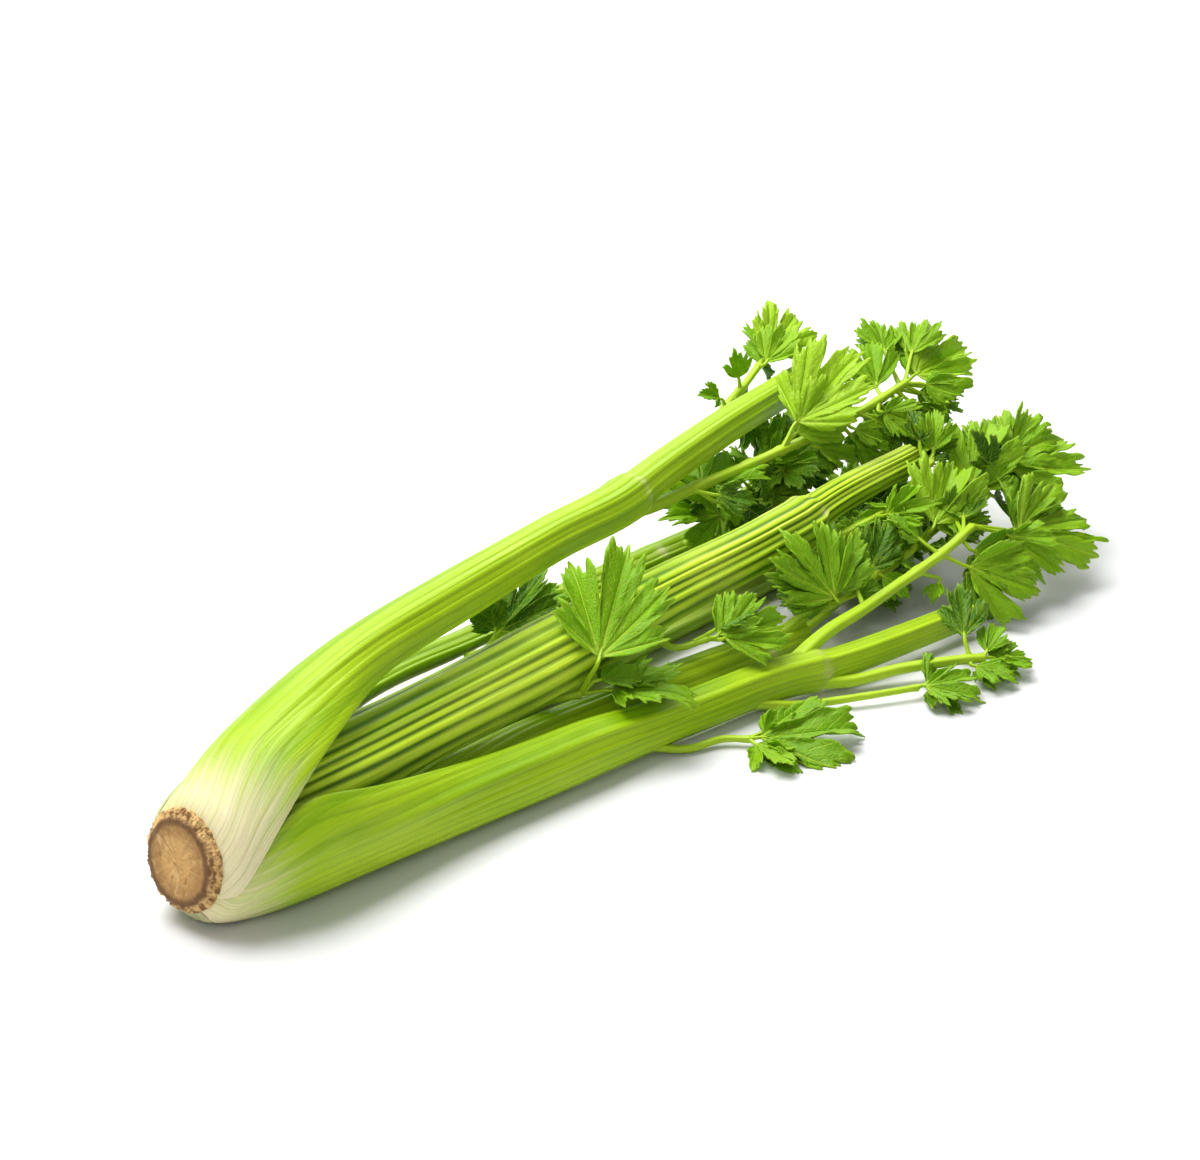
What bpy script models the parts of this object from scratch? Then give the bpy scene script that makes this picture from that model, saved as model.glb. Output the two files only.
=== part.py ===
"""A head of celery lying on its side, modelled in metres with +Z up and the cut root end at -X.

The crown is the cut plate that all stalks grow from. Each stalk is a ribbed, channelled solid swept
through hand-set stations, and each leafy spray is a thin stem fused with its lobed leaf blades.
"""

import math

import bmesh
import bpy
from mathutils import Quaternion, Vector

MM = 0.001

# Driving dimensions, in millimetres and degrees
BUTT = Vector((-216.0, -14.0, 23.0))  # centre of the cut face at the root end
BUTT_TILT = 10.0  # the cut is not square: its face looks this much upwards
BUTT_YAW = -5.0  # and this much to the front
FACE_NORMAL = Vector(
    (
        -math.cos(math.radians(BUTT_TILT)) * math.cos(math.radians(BUTT_YAW)),
        math.cos(math.radians(BUTT_TILT)) * math.sin(math.radians(BUTT_YAW)),
        math.sin(math.radians(BUTT_TILT)),
    )
)
LEAN_END = -172.0  # up to here the stalks' sections lean with the cut face, less and less
LEAN_LENGTH = 34.0
CUT_FACE_RADIUS = 14.5
CORK_RADIUS = 17.6
CORK_BULGE = 0.2  # the corky ring widens this much towards its back
CROWN_SIDES = 24
CORE = ((12.6, 5.0), (8.3, 20.0), (5.0, 32.0), (2.5, 40.0), (0.0, 43.0))  # radius and depth behind the cut
MARGIN_SHARE = 0.4  # a stalk's wall at its thin margins, as a share of the wall at its back
RIB_HEIGHT = 0.9
RIB_FULL_RADIUS = 12.0  # on a slimmer stalk the ribs are lower in proportion
SKIN_DEPTH = 0.3  # the grooves lie this much inside a stalk's stated radius
CHANNEL = (0.98, 0.6, 0.0, -0.6, -0.98)  # where the inner side has its corners, as shares of the half angle
BLADE_THICKNESS = 0.8
JOIN_SOLVER = "MANIFOLD"
STEP_LENGTHS = (11.0, 28.0)  # stations further apart than these get one and two more between them

# Each stalk's stations: x, y, z of the centre of its arched section, the arch's radius, half of the
# angle that it spans, its wall, and the way its back faces: 0 is +Y, 90 is up and 180 is -Y.
STALKS = {
    "stalk_upper": (
        8,
        (
            (-210.8, -15, 22.5, 18.7, 92, 3.4, 112),
            (-208.3, -15, 23, 20.8, 86, 4, 106),
            (-203, -15.2, 24, 22.7, 76.5, 4.5, 94.5),
            (-195, -15.4, 25.4, 25.3, 65, 5, 84.5),
            (-186, -14.6, 28.3, 26.1, 59, 5, 81),
            (-172, -10.8, 35.4, 24.1, 58.5, 6, 80.5),
            (-155, -5.2, 45.4, 18.9, 64.5, 6.5, 87),
            (-136, 1, 55.8, 11.8, 84, 7, 101),
            (-117, 3.5, 59, 10.5, 92, 7, 106),
            (-90, 7.5, 60.6, 10.2, 95, 7, 108),
            (-32, 18, 62.2, 9, 97, 6.5, 110),
            (12, 25, 62.4, 9.2, 98, 6.5, 112),
            (20, 27.5, 62.8, 7.6, 98, 6, 112),
            (78, 46, 62, 7.3, 98, 6, 112),
            (142, 66, 58, 7, 98, 5.5, 112),
        ),
    ),
    "stalk_front": (
        8,
        (
            (-210.8, -15, 22.5, 18.7, 18.5, 3.4, 226),
            (-208.3, -15, 23.2, 22.3, 26, 4, 220),
            (-203, -15, 24, 26.3, 38.5, 4.5, 209),
            (-195, -14.8, 24.5, 27.6, 50.5, 5, 199),
            (-186, -14.2, 25.2, 29, 55.5, 5, 194.5),
            (-170, -16.4, 22.6, 27, 51.5, 6, 195.5),
            (-150, -21.7, 18.3, 20.4, 58, 7, 190),
            (-128, -25.8, 13.8, 14.4, 75, 8, 175),
            (-102, -28.4, 11, 11, 92, 7.5, 162),
            (-59, -30.5, 10.4, 10.3, 95, 7, 158),
            (-12, -32.8, 8.4, 8.2, 95, 6, 158),
            (33, -36.9, 8, 8, 95, 6, 158),
            (42, -39.5, 8, 8, 95, 6, 158),
            (49, -41, 8, 6.3, 95, 5, 158),
            (118, -47.5, 7.6, 5.6, 95, 4.5, 158),
        ),
    ),
    "stalk_middle": (
        8,
        (
            (-188, -14, 27.5, 15.5, 52, 5, 135),
            (-174, -13, 28.5, 20, 52, 6, 137),
            (-150, -10.5, 28.5, 16.5, 66, 7, 140),
            (-118, -6.5, 29.5, 12.4, 88, 8, 144),
            (-90, -5, 30.5, 12.1, 95, 8, 146),
            (-62, -4, 32, 12.7, 95, 8, 146),
            (-31, -2.5, 34, 12, 95, 7.5, 146),
            (3, -0.4, 35.5, 10, 95, 7, 146),
            (64, 3, 37.5, 9, 95, 6.5, 146),
            (84, 5, 38.5, 9, 95, 6.5, 146),
            (92, 6.5, 39.3, 6.6, 95, 5, 146),
            (150, 11, 42, 5.5, 95, 4.5, 146),
        ),
    ),
    "stalk_back": (
        6,
        (
            (-210.8, -15, 22.5, 18.7, 38, 3.4, -20),
            (-208.3, -15, 23.2, 22.3, 38, 4, -20),
            (-203, -15, 24, 26.3, 38, 4.5, -20),
            (-195, -15, 25, 28.3, 38, 5, -20),
            (-186, -14, 26, 29.3, 38, 5, -20),
            (-170, -7, 25, 26, 42, 5.5, -18),
            (-148, 8, 21, 17, 56, 6, -8),
            (-120, 29, 15, 10.5, 76, 6.5, 20),
            (-91, 44.5, 12.8, 8.6, 90, 6, 45),
            (-40, 49.5, 12, 8.2, 92, 5.5, 50),
            (20, 54.5, 11, 8.2, 92, 5.5, 55),
            (112, 68, 4.8, 7.2, 92, 5, 60),
        ),
    ),
    "stalk_under": (
        4,
        (
            (-210.8, -15, 22.5, 18.7, 27, 3.4, 274),
            (-208.3, -15, 23.2, 22.3, 27, 4, 274),
            (-203, -15, 24, 24.3, 27, 4.5, 274),
            (-195, -15, 25, 25.3, 27, 4.5, 274),
            (-186, -14, 26, 26.2, 27, 5, 274),
            (-170, -10, 24, 24, 30, 6, 274),
            (-145, -1, 17, 16.5, 44, 6, 272),
            (-110, 10, 11.5, 11, 75, 6.5, 270),
            (-60, 16, 10, 9.6, 92, 6.5, 272),
            (110, 30, 8.1, 8, 92, 5.5, 275),
        ),
    ),
    "stalk_low": (
        4,
        (
            (-188, -15, 26.5, 15.5, 20, 4.5, 214),
            (-172, -16, 25, 19, 22, 5.5, 212),
            (-147, -15.5, 18, 12.5, 44, 6, 205),
            (-115, -12.5, 11.5, 9.2, 76, 6.5, 185),
            (-65, -10.5, 8.8, 8.3, 90, 6.5, 160),
            (0, -14, 8.4, 7.8, 92, 6, 155),
            (60, -18, 7.8, 6.6, 92, 5, 150),
        ),
    ),
    "stalk_inner": (
        4,
        (
            (-188, -13, 27.5, 15.5, 44, 4.5, -15),
            (-170, -9, 27, 18.5, 40, 5, -15),
            (-142, 6, 20, 12.5, 50, 6, -10),
            (-110, 24, 12, 8, 80, 5.5, 5),
            (-60, 33.5, 8.5, 7, 92, 5, 20),
            (90, 46, 8, 6.5, 92, 4.5, 40),
        ),
    ),
}

# The lobes of each form of leaflet, from one side to the other: the angle off the midrib in degrees
# and the reach as a share of the leaflet's length. Then the angle from a lobe's tip to its sinus, and
# the teeth and notches of a lobe as shares of that angle and of the lobe's reach.
TOOTHED = ((-0.64, 0.86), (-0.32, 0.79), (0.0, 1.0), (0.32, 0.79), (0.64, 0.86))
SIMPLE = ((-0.5, 0.78), (0.0, 1.0), (0.5, 0.78))
FIVE_LOBES = ((-62, 0.62), (-31, 0.86), (0, 1.0), (31, 0.86), (62, 0.62))
FORMS = {
    "broad": (FIVE_LOBES, 15.5, TOOTHED),
    "fan": (FIVE_LOBES, 15.5, SIMPLE),
    "three": (((-43, 0.76), (0, 1.0), (43, 0.76)), 22, TOOTHED),
    "small": (((-43, 0.72), (0, 1.0), (43, 0.72)), 21.5, SIMPLE),
}
SINUS_REACH = 0.6
BLADE_WIDTH = 0.92  # sideways scale of a leaflet
BASE_REACH = 0.36  # reach of a leaflet's two sides next to its stalk
LOBE_FOLD = 0.5  # where a lobe's surface bends, as a share of its reach
RIPPLE_HEIGHT = 0.06  # waves round a leaflet, as a share of its length
RIPPLE_RATE = 4.5  # waves round a full turn
CUP = 0.12  # how much a leaflet's two halves rise from its midrib
LEAFLET_STALK_RADIUS = 0.7
LEAFLET_NECK = 1.6  # straight length of a leaflet's stalk behind the blade

# Where the upper sides of a spray's leaflets look before they are rolled
FRONT = Vector((-0.45, -0.5, 0.74))
UP = Vector((-0.1, -0.1, 0.99))

# Each spray's face and stem (x, y, z and radius), and its leaflets: the share of the stem where they
# sit, the base and the tip of the blade, the form, the roll about the midrib and the droop.
SPRAYS = {
    "spray_upper": (
        FRONT,
        (
            (25, 28, 54.5, 2.6),
            (56, 31, 53, 2.2),
            (95, 34, 52, 1.9),
            (154, 34, 57, 1.6),
            (173, 35, 60, 1.4),
        ),
        (
            (1.0, (179, 36, 61), (215, 38, 66), "broad", 0, 0.1),
            (0.97, (175, 49, 68), (184, 64, 77), "three", 20, 0.1),
            (0.99, (183, 42, 67), (200, 51, 77), "three", -15, 0.1),
            (0.99, (176, 28, 60), (184, 16, 57), "three", 10, 0.2),
            (0.99, (181, 30, 55), (177, 15, 46), "small", 40, 0.0),
            (0.9, (161, 40, 60), (171, 54, 76), "three", 0, 0.1),
            (0.88, (152, 28, 55), (165, 15, 51), "fan", 10, 0.1),
            (0.75, (136, 28, 53), (147, 18, 47), "three", -10, 0.1),
            (0.62, (118, 30, 50), (134, 22, 44), "small", 0, 0.1),
            (0.52, (111, 35, 61), (147, 34, 84), "broad", -10, -0.05),
            (0.52, (110, 34, 57), (138, 31, 68), "three", 35, 0.1),
            (0.2, (62, 36, 50), (97, 42, 52), "three", -20, 0.1),
            (0.4, (84, 43, 45), (104, 54, 40), "small", -20, 0.1),
        ),
    ),
    "spray_top": (
        FRONT,
        ((104, 68, 57, 1.6), (120, 72, 62, 1.5), (133, 75, 68, 1.3)),
        (
            (1.0, (138, 76, 70), (164, 84, 80), "fan", 10, 0.1),
            (0.9, (131, 71, 69), (151, 74, 80), "three", -10, 0.1),
            (0.45, (117, 72, 66), (114, 72, 79), "three", 0, 0.1),
            (0.1, (104, 69, 62), (93, 68, 68), "small", 0, 0.1),
        ),
    ),
    "spray_fan": (
        FRONT,
        ((-73, -4, 19.2, 1.5), (-60, -7, 19.4, 1.5), (-46, -14.5, 21, 1.4)),
        (
            (1.0, (-45, -23, 38), (-13.5, -4.6, 64), "broad", 5, -0.05),
            (1.0, (-42, -20, 27), (-26, -29, 28), "three", -30, 0.1),
            (1.0, (-38, -22, 22.5), (-22, -46, 27), "fan", -38, 0.05),
        ),
    ),
    "spray_front": (
        FRONT,
        (
            (53, -36, 17.5, 2.6),
            (75, -35, 20, 2.3),
            (95, -34, 23, 2.0),
            (115, -35, 28, 1.8),
            (137, -32, 32, 1.5),
        ),
        (
            (1.0, (156, -39, 27), (196, -44, 22), "broad", 0, 0.1),
            (1.0, (149, -40, 27), (161, -58, 15), "fan", 15, 0.1),
            (0.9, (131, -38, 26), (157, -51, 9), "three", 0, 0.1),
            (0.75, (124, -42, 23), (148, -62, 11), "three", 10, 0.1),
            (0.6, (112, -38, 19), (104, -41, 14), "small", 30, 0.1),
        ),
    ),
    "spray_inner": (
        FRONT,
        (
            (58, -20, 16.5, 2.2),
            (84, -20, 18, 2.1),
            (114, -18, 22, 1.9),
            (130, -16, 25, 1.7),
            (153, -15, 30, 1.5),
            (169, -13, 34, 1.3),
        ),
        (
            (0.62, (128, -21, 32), (155, -8, 51), "three", 8, 0.0),
            (0.85, (159, -12, 35), (184, 0, 56), "three", 0, 0.1),
            (1.0, (175, -8, 38), (212, 4, 48), "broad", -10, 0.1),
            (1.0, (178, -14, 38), (219, -12, 41), "broad", 5, 0.1),
            (0.95, (173, -14, 34), (204, -13, 36), "three", 10, 0.1),
            (0.1, (69, -26, 23), (59, -5, 51), "fan", 10, -0.1),
            (0.12, (72, -24, 23), (87, -19, 42), "three", 0, 0.1),
            (0.4, (98, -23, 21), (104, -32, 13), "small", 0, 0.1),
            (0.8, (153, -9, 24), (176, 2, 20), "small", 0, 0.1),
        ),
    ),
    "spray_middle": (
        FRONT,
        ((96, 0, 30, 1.9), (106, -4, 33, 1.7), (126, -5, 38, 1.5), (148, -1, 45, 1.3)),
        (
            (1.0, (151, 1, 48), (157, 6, 64), "three", 0, 0.1),
            (1.0, (158, 14, 41), (184, 30, 42), "three", -10, 0.1),
            (0.6, (122, -8, 35), (98, -13, 28), "fan", 0, 0.1),
        ),
    ),
    "spray_low_outer": (
        UP,
        ((50, -50, 5, 2.2), (70, -58, 6, 2.1), (89, -69, 7, 1.9), (97, -74, 7, 1.6)),
        (
            (1.0, (99, -76, 7), (115, -85, 5), "three", 0, 0.05),
            (1.0, (98, -74, 9), (110, -70, 16), "three", 0, 0.1),
            (0.9, (91, -75, 6), (97, -90, 4), "three", 0, 0.05),
        ),
    ),
    "spray_low_inner": (
        UP,
        ((29, -49, 3, 1.5), (46, -60, 4, 1.4), (66, -70, 4.5, 1.2)),
        ((1.0, (68, -72, 5), (82, -92, 4), "fan", 0, 0.02),),
    ),
    "spray_floor": (
        UP,
        ((-22, -43.5, 2.2, 1.4), (-9, -48, 3, 1.3), (-3, -54, 3, 1.2)),
        (
            (1.0, (-1, -57, 4), (32, -79, 4), "three", 0, 0.0),
            (1.0, (-4, -58, 3), (-8, -79, 3), "three", 0, 0.02),
        ),
    ),
    "spray_small": (
        FRONT,
        ((1, -12, 21.5, 1.3), (11, -19, 24, 1.1)),
        (
            (1.0, (13, -22, 26), (36, -20, 34), "three", 0, 0.1),
            (1.0, (14, -24, 25), (44, -31, 29), "fan", 0, 0.1),
        ),
    ),
    "spray_dark": (
        FRONT,
        ((-44, 37.5, 18, 1.2), (-41, 35, 23, 1.1)),
        (
            (1.0, (-40, 34, 25), (-18, 33, 43), "fan", 0, 0.1),
            (1.0, (-41, 35, 25), (-44, 39, 41), "three", 0, 0.1),
        ),
    ),
    "spray_back": (
        FRONT,
        ((85, 54, 21, 2.0), (109, 60, 23, 1.8), (134, 66, 24, 1.5)),
        (
            (0.2, (78, 42, 30), (42, 40, 43), "fan", 0, 0.1),
            (0.4, (94, 46, 28), (72, 27, 24), "three", 0, 0.1),
            (0.6, (105, 56, 31), (98, 64, 44), "fan", 0, 0.1),
            (0.9, (126, 56, 29), (114, 36, 34), "fan", 0, 0.1),
            (1.0, (136, 62, 28), (150, 42, 36), "fan", 0, 0.1),
            (1.0, (138, 68, 26), (170, 74, 32), "fan", 0, 0.1),
            (1.0, (134, 73, 22), (144, 93, 16), "three", 0, 0.1),
            (0.5, (106, 68, 24), (100, 88, 18), "three", 0, 0.1),
            (0.1, (82, 57, 32), (74, 66, 50), "small", 0, 0.1),
            (0.75, (124, 64, 34), (134, 62, 49), "small", 0, 0.1),
        ),
    ),
    "spray_under": (
        FRONT,
        ((113, 26, 13, 1.8), (126, 20, 17, 1.5), (140, 12, 20, 1.3)),
        (
            (1.0, (142, 10, 21), (168, 2, 26), "fan", 0, 0.1),
            (1.0, (140, 16, 21), (164, 30, 26), "fan", 0, 0.1),
            (0.6, (128, 14, 20), (110, 4, 24), "three", 0, 0.1),
            (0.3, (118, 16, 14), (100, -2, 14), "three", 0, 0.1),
            (0.8, (134, 8, 15), (124, -12, 8), "three", 0, 0.1),
            (0.5, (133, 27, 15), (150, 40, 17), "small", 0, 0.1),
            (0.9, (147, 17, 13), (170, 22, 12), "small", 0, 0.1),
        ),
    ),
    "spray_low": (
        FRONT,
        ((63, -17, 9, 1.5), (80, -13, 9, 1.3), (94, -10, 10, 1.2)),
        (
            (1.0, (97, -10, 11), (122, -18, 10), "three", 0, 0.1),
            (0.5, (78, -8, 11), (80, 12, 14), "three", 0, 0.1),
        ),
    ),
}


def clear_scene():
    for obj in list(bpy.data.objects):
        bpy.data.objects.remove(obj, do_unlink=True)


def material(name, colour, roughness):
    made = bpy.data.materials.new(name)
    made.use_nodes = True
    shader = made.node_tree.nodes["Principled BSDF"]
    shader.inputs["Base Color"].default_value = (*colour, 1.0)
    shader.inputs["Roughness"].default_value = roughness
    shader.inputs["Metallic"].default_value = 0.0
    return made


def smooth_rows(rows):
    """Rows of numbers, with more on a Catmull-Rom curve between those whose first lie far apart."""
    before = [2 * a - b for a, b in zip(rows[0], rows[1])]
    after = [2 * a - b for a, b in zip(rows[-1], rows[-2])]
    ends = [before, *rows, after]
    out = []
    for i in range(1, len(ends) - 2):
        steps = 1 + sum(ends[i + 1][0] - ends[i][0] > far for far in STEP_LENGTHS)
        for k in range(steps):
            t = k / steps
            row = []
            for p, a, b, n in zip(*ends[i - 1 : i + 3]):
                bend = (2 * p - 5 * a + 4 * b - n) * t * t + (3 * a - p - 3 * b + n) * t**3
                row.append(0.5 * (2 * a + (b - p) * t + bend))
            out.append(row)
    out.append(list(rows[-1]))
    return out


def tangents(points):
    last = len(points) - 1
    return [(points[min(i + 1, last)] - points[max(i - 1, 0)]).normalized() for i in range(last + 1)]


def mesh_object(name, points, faces, collection, finish):
    """One named mesh object, from points in millimetres, with its faces turned outwards."""
    work = bmesh.new()
    corners = [work.verts.new(Vector(p) * MM) for p in points]
    for face in faces:
        work.faces.new([corners[i] for i in face])
    bmesh.ops.recalc_face_normals(work, faces=work.faces)
    bmesh.ops.triangulate(work, faces=work.faces)
    mesh = bpy.data.meshes.new(name)
    work.to_mesh(mesh)
    work.free()
    mesh.materials.append(finish)
    obj = bpy.data.objects.new(name, mesh)
    collection.objects.link(obj)
    return obj


def stalk_section(row, along, ribs):
    """One closed ring of a stalk: its ribbed back, then the smooth channel of its inner side."""
    x, y, z, radius, half_angle, wall, facing = row
    lean = max(0.0, min(1.0, (LEAN_END - x) / LEAN_LENGTH))
    along = along.lerp(-FACE_NORMAL, lean).normalized()
    angle = math.radians(facing)
    out = Vector((0, math.cos(angle), math.sin(angle)))
    out = (out - along * out.dot(along)).normalized()
    side = along.cross(out)
    centre = Vector((x, y, z))
    spread = math.radians(half_angle)
    ring = []
    outer = 2 * ribs
    for i in range(outer + 1):
        v = 2 * i / outer - 1
        crest = RIB_HEIGHT * min(1.0, radius / RIB_FULL_RADIUS) if i % 2 else 0.0
        ring.append((v, radius - SKIN_DEPTH + crest))
    for v in CHANNEL:
        ring.append((v, radius - wall * (MARGIN_SHARE + (1 - MARGIN_SHARE) * (1 - v * v))))
    points = []
    for v, r in ring:
        p = centre + out * (r * math.cos(v * spread)) + side * (r * math.sin(v * spread))
        points.append(Vector((p.x, p.y, max(p.z, 0.0))))
    return points


def stalk(name, ribs, rows, collection, finish):
    stations = smooth_rows(rows)
    along = tangents([Vector(s[:3]) for s in stations])
    rings = [stalk_section(s, t, ribs) for s, t in zip(stations, along)]
    count = len(rings[0])
    faces = []
    for k in range(len(rings) - 1):
        for i in range(count):
            j = (i + 1) % count
            faces.append((k * count + i, k * count + j, (k + 1) * count + j, (k + 1) * count + i))
    faces.append(tuple(range(count)))
    faces.append(tuple(range((len(rings) - 1) * count, len(rings) * count)))
    return mesh_object(name, [p for ring in rings for p in ring], faces, collection, finish)


def crown(collection, finish):
    """The cut root plate: its cut face, the corky ring behind it, and the core of the stem."""
    cut = ((0.0, 0.0), (CUT_FACE_RADIUS, 0.0), (CUT_FACE_RADIUS + 1.0, 1.2))
    profile = (*cut, (CORK_RADIUS, 2.2), (CORK_RADIUS + CORK_BULGE, 3.8), *CORE)
    sides = CROWN_SIDES
    across = FACE_NORMAL.cross(Vector((0, 0, 1))).normalized()
    upward = across.cross(FACE_NORMAL)
    points = []
    for r, depth in profile[1:-1]:
        for k in range(sides):
            a = 2 * math.pi * k / sides
            around = across * math.cos(a) + upward * math.sin(a)
            points.append(BUTT - FACE_NORMAL * depth + around * r)
    faces = [tuple(range(sides))]
    rings = len(profile) - 2
    for k in range(rings - 1):
        for i in range(sides):
            j = (i + 1) % sides
            faces.append((k * sides + i, k * sides + j, (k + 1) * sides + j, (k + 1) * sides + i))
    tip = len(points)
    points.append(BUTT - FACE_NORMAL * profile[-1][1])
    for i in range(sides):
        faces.append(((rings - 1) * sides + i, (rings - 1) * sides + (i + 1) % sides, tip))
    return mesh_object("crown", points, faces, collection, finish)


def frame_about(direction, towards):
    """The side and the normal that go with a direction, the normal as near to another vector as can be."""
    normal = (towards - direction * towards.dot(direction)).normalized()
    return normal.cross(direction), normal


def tube(name, path, sides, collection, finish):
    """A closed round stem along points with radii."""
    centres = [Vector(p[:3]) for p in path]
    points = []
    for centre, along, radius in zip(centres, tangents(centres), (p[3] for p in path)):
        side, normal = frame_about(along, Vector((0.1, 0.2, 0.97)))
        for k in range(sides):
            a = 2 * math.pi * k / sides
            points.append(centre + side * (radius * math.cos(a)) + normal * (radius * math.sin(a)))
    faces = [tuple(range(sides)), tuple(range(len(points) - sides, len(points)))]
    for k in range(len(path) - 1):
        for i in range(sides):
            j = (i + 1) % sides
            faces.append((k * sides + i, k * sides + j, (k + 1) * sides + j, (k + 1) * sides + i))
    return mesh_object(name, points, faces, collection, finish)


def leaflet(name, root, base, tip, face, form, roll, droop, collection, finish):
    """A lobed and toothed blade, a thin sheet between two faces with the same bends, on its stalk."""
    lobes, half_lobe, lobe_edge = FORMS[form]
    length = (tip - base).length
    along = (tip - base).normalized()
    side, normal = frame_about(along, face)
    turn = Quaternion(along, math.radians(roll))
    side, normal = turn @ side, turn @ normal

    def sheet(angle, reach):
        a = math.radians(angle)
        u, v = reach * math.cos(a), reach * math.sin(a) * BLADE_WIDTH
        ripple = RIPPLE_HEIGHT * reach * math.sin(math.radians(RIPPLE_RATE * angle) + length)
        lift = ripple + CUP * abs(v) - droop * u * u
        return base + (along * u + side * v + normal * lift) * length

    # The two corners at the base, the middles of the lobes, then the outline from one side to the other
    flat = [base - side * LEAFLET_STALK_RADIUS, base + side * LEAFLET_STALK_RADIUS]
    flat += [sheet(angle, reach * LOBE_FOLD) for angle, reach in lobes]
    edge = []
    for k, (angle, reach) in enumerate(lobes):
        sinus = SINUS_REACH * min(reach, lobes[k - 1][1]) if k else BASE_REACH * reach
        edge.append((angle - half_lobe, sinus))
        edge += [(angle + half_lobe * share, reach * r) for share, r in lobe_edge]
    edge.append((lobes[-1][0] + half_lobe, BASE_REACH * lobes[-1][1]))
    flat += [sheet(*p) for p in edge]
    first, last = 2 + len(lobes), len(flat) - 1
    per_lobe = len(lobe_edge) + 1
    centre = len(lobes) // 2
    sides = [(0, first, 2), (1, 1 + len(lobes), last), (0, 2 + centre, 1)]
    for k in range(len(lobes)):
        start = first + k * per_lobe
        sides += [(2 + k, start + i, start + i + 1) for i in range(per_lobe)]
        if k:
            sides += [(1 + k, start, 2 + k), (0 if k <= centre else 1, 1 + k, 2 + k)]
    normals = [Vector() for _ in flat]
    for a, b, c in sides:
        n = (flat[b] - flat[a]).cross(flat[c] - flat[a]).normalized()
        for i in (a, b, c):
            normals[i] += n
    half = BLADE_THICKNESS / 2
    points = [p + n.normalized() * half for p, n in zip(flat, normals)]
    points += [p - n.normalized() * half for p, n in zip(flat, normals)]
    below = len(flat)
    faces = sides + [tuple(below + i for i in face) for face in sides]
    rim = [0, *range(first, last + 1), 1]
    for i, j in zip(rim, rim[1:]):
        faces += [(i, j, below + j), (i, below + j, below + i)]

    # The stalk goes on from the two corners, round a bend, and into the stem
    neck = base - along * LEAFLET_NECK
    heading = (neck - root).normalized()
    rings = [[0, 1, below + 1, below]]
    for ring_centre, direction in ((neck, (heading + along).normalized()), (root, heading)):
        bend = along.rotation_difference(direction)
        right, up = bend @ side * LEAFLET_STALK_RADIUS, bend @ normal * LEAFLET_STALK_RADIUS
        rings.append(list(range(len(points), len(points) + 4)))
        points += [ring_centre - right + up, ring_centre + right + up]
        points += [ring_centre + right - up, ring_centre - right - up]
    for near, far in zip(rings, rings[1:]):
        faces += [(near[i], near[i - 1], far[i - 1], far[i]) for i in range(4)]
    faces.append(tuple(rings[-1]))
    return mesh_object(name, points, faces, collection, finish)


def point_on(path, share):
    """The point at a share of the length of a path."""
    centres = [Vector(p[:3]) for p in path]
    lengths = [(b - a).length for a, b in zip(centres, centres[1:])]
    left = share * sum(lengths)
    for a, b, length in zip(centres, centres[1:], lengths):
        if left <= length:
            return a.lerp(b, left / length)
        left -= length
    return centres[-1]


def spray(name, face, stem, leaflets, collection, finish):
    """A stem with its leaflets on their own little stalks, fused into one solid."""
    leaves = bpy.data.collections.new(name + "_leaflets")
    bpy.context.scene.collection.children.link(leaves)
    for k, (share, base, tip, form, roll, droop) in enumerate(leaflets):
        root = point_on(stem, share)
        base, tip = Vector(base), Vector(tip)
        leaflet(f"{name}_{k}", root, base, tip, face, form, roll, droop, leaves, finish)
    obj = tube(name, stem, 6, collection, finish)
    join = obj.modifiers.new("leaflets", "BOOLEAN")
    join.operation = "UNION"
    join.operand_type = "COLLECTION"
    join.collection = leaves
    join.solver = JOIN_SOLVER
    bpy.context.view_layer.objects.active = obj
    bpy.ops.object.modifier_apply(modifier=join.name)
    for leaf in list(leaves.objects):
        bpy.data.objects.remove(leaf, do_unlink=True)
    bpy.data.collections.remove(leaves)
    return obj


def main():
    clear_scene()
    celery = bpy.data.collections.new("celery_head")
    bpy.context.scene.collection.children.link(celery)
    stalk_green = material("stalk_green", (0.45, 0.62, 0.05), 0.4)
    leaf_green = material("leaf_green", (0.16, 0.36, 0.01), 0.45)
    root_tan = material("root_tan", (0.72, 0.45, 0.16), 0.85)
    crown(celery, root_tan)
    for name, (ribs, rows) in STALKS.items():
        stalk(name, ribs, rows, celery, stalk_green)
    for name, (face, stem, leaflets) in SPRAYS.items():
        spray(name, face, stem, leaflets, celery, leaf_green)


main()
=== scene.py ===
# A head of celery on a pale studio floor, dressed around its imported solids.
import math
import random

import bpy
import numpy as np
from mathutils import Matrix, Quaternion, Vector


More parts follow.
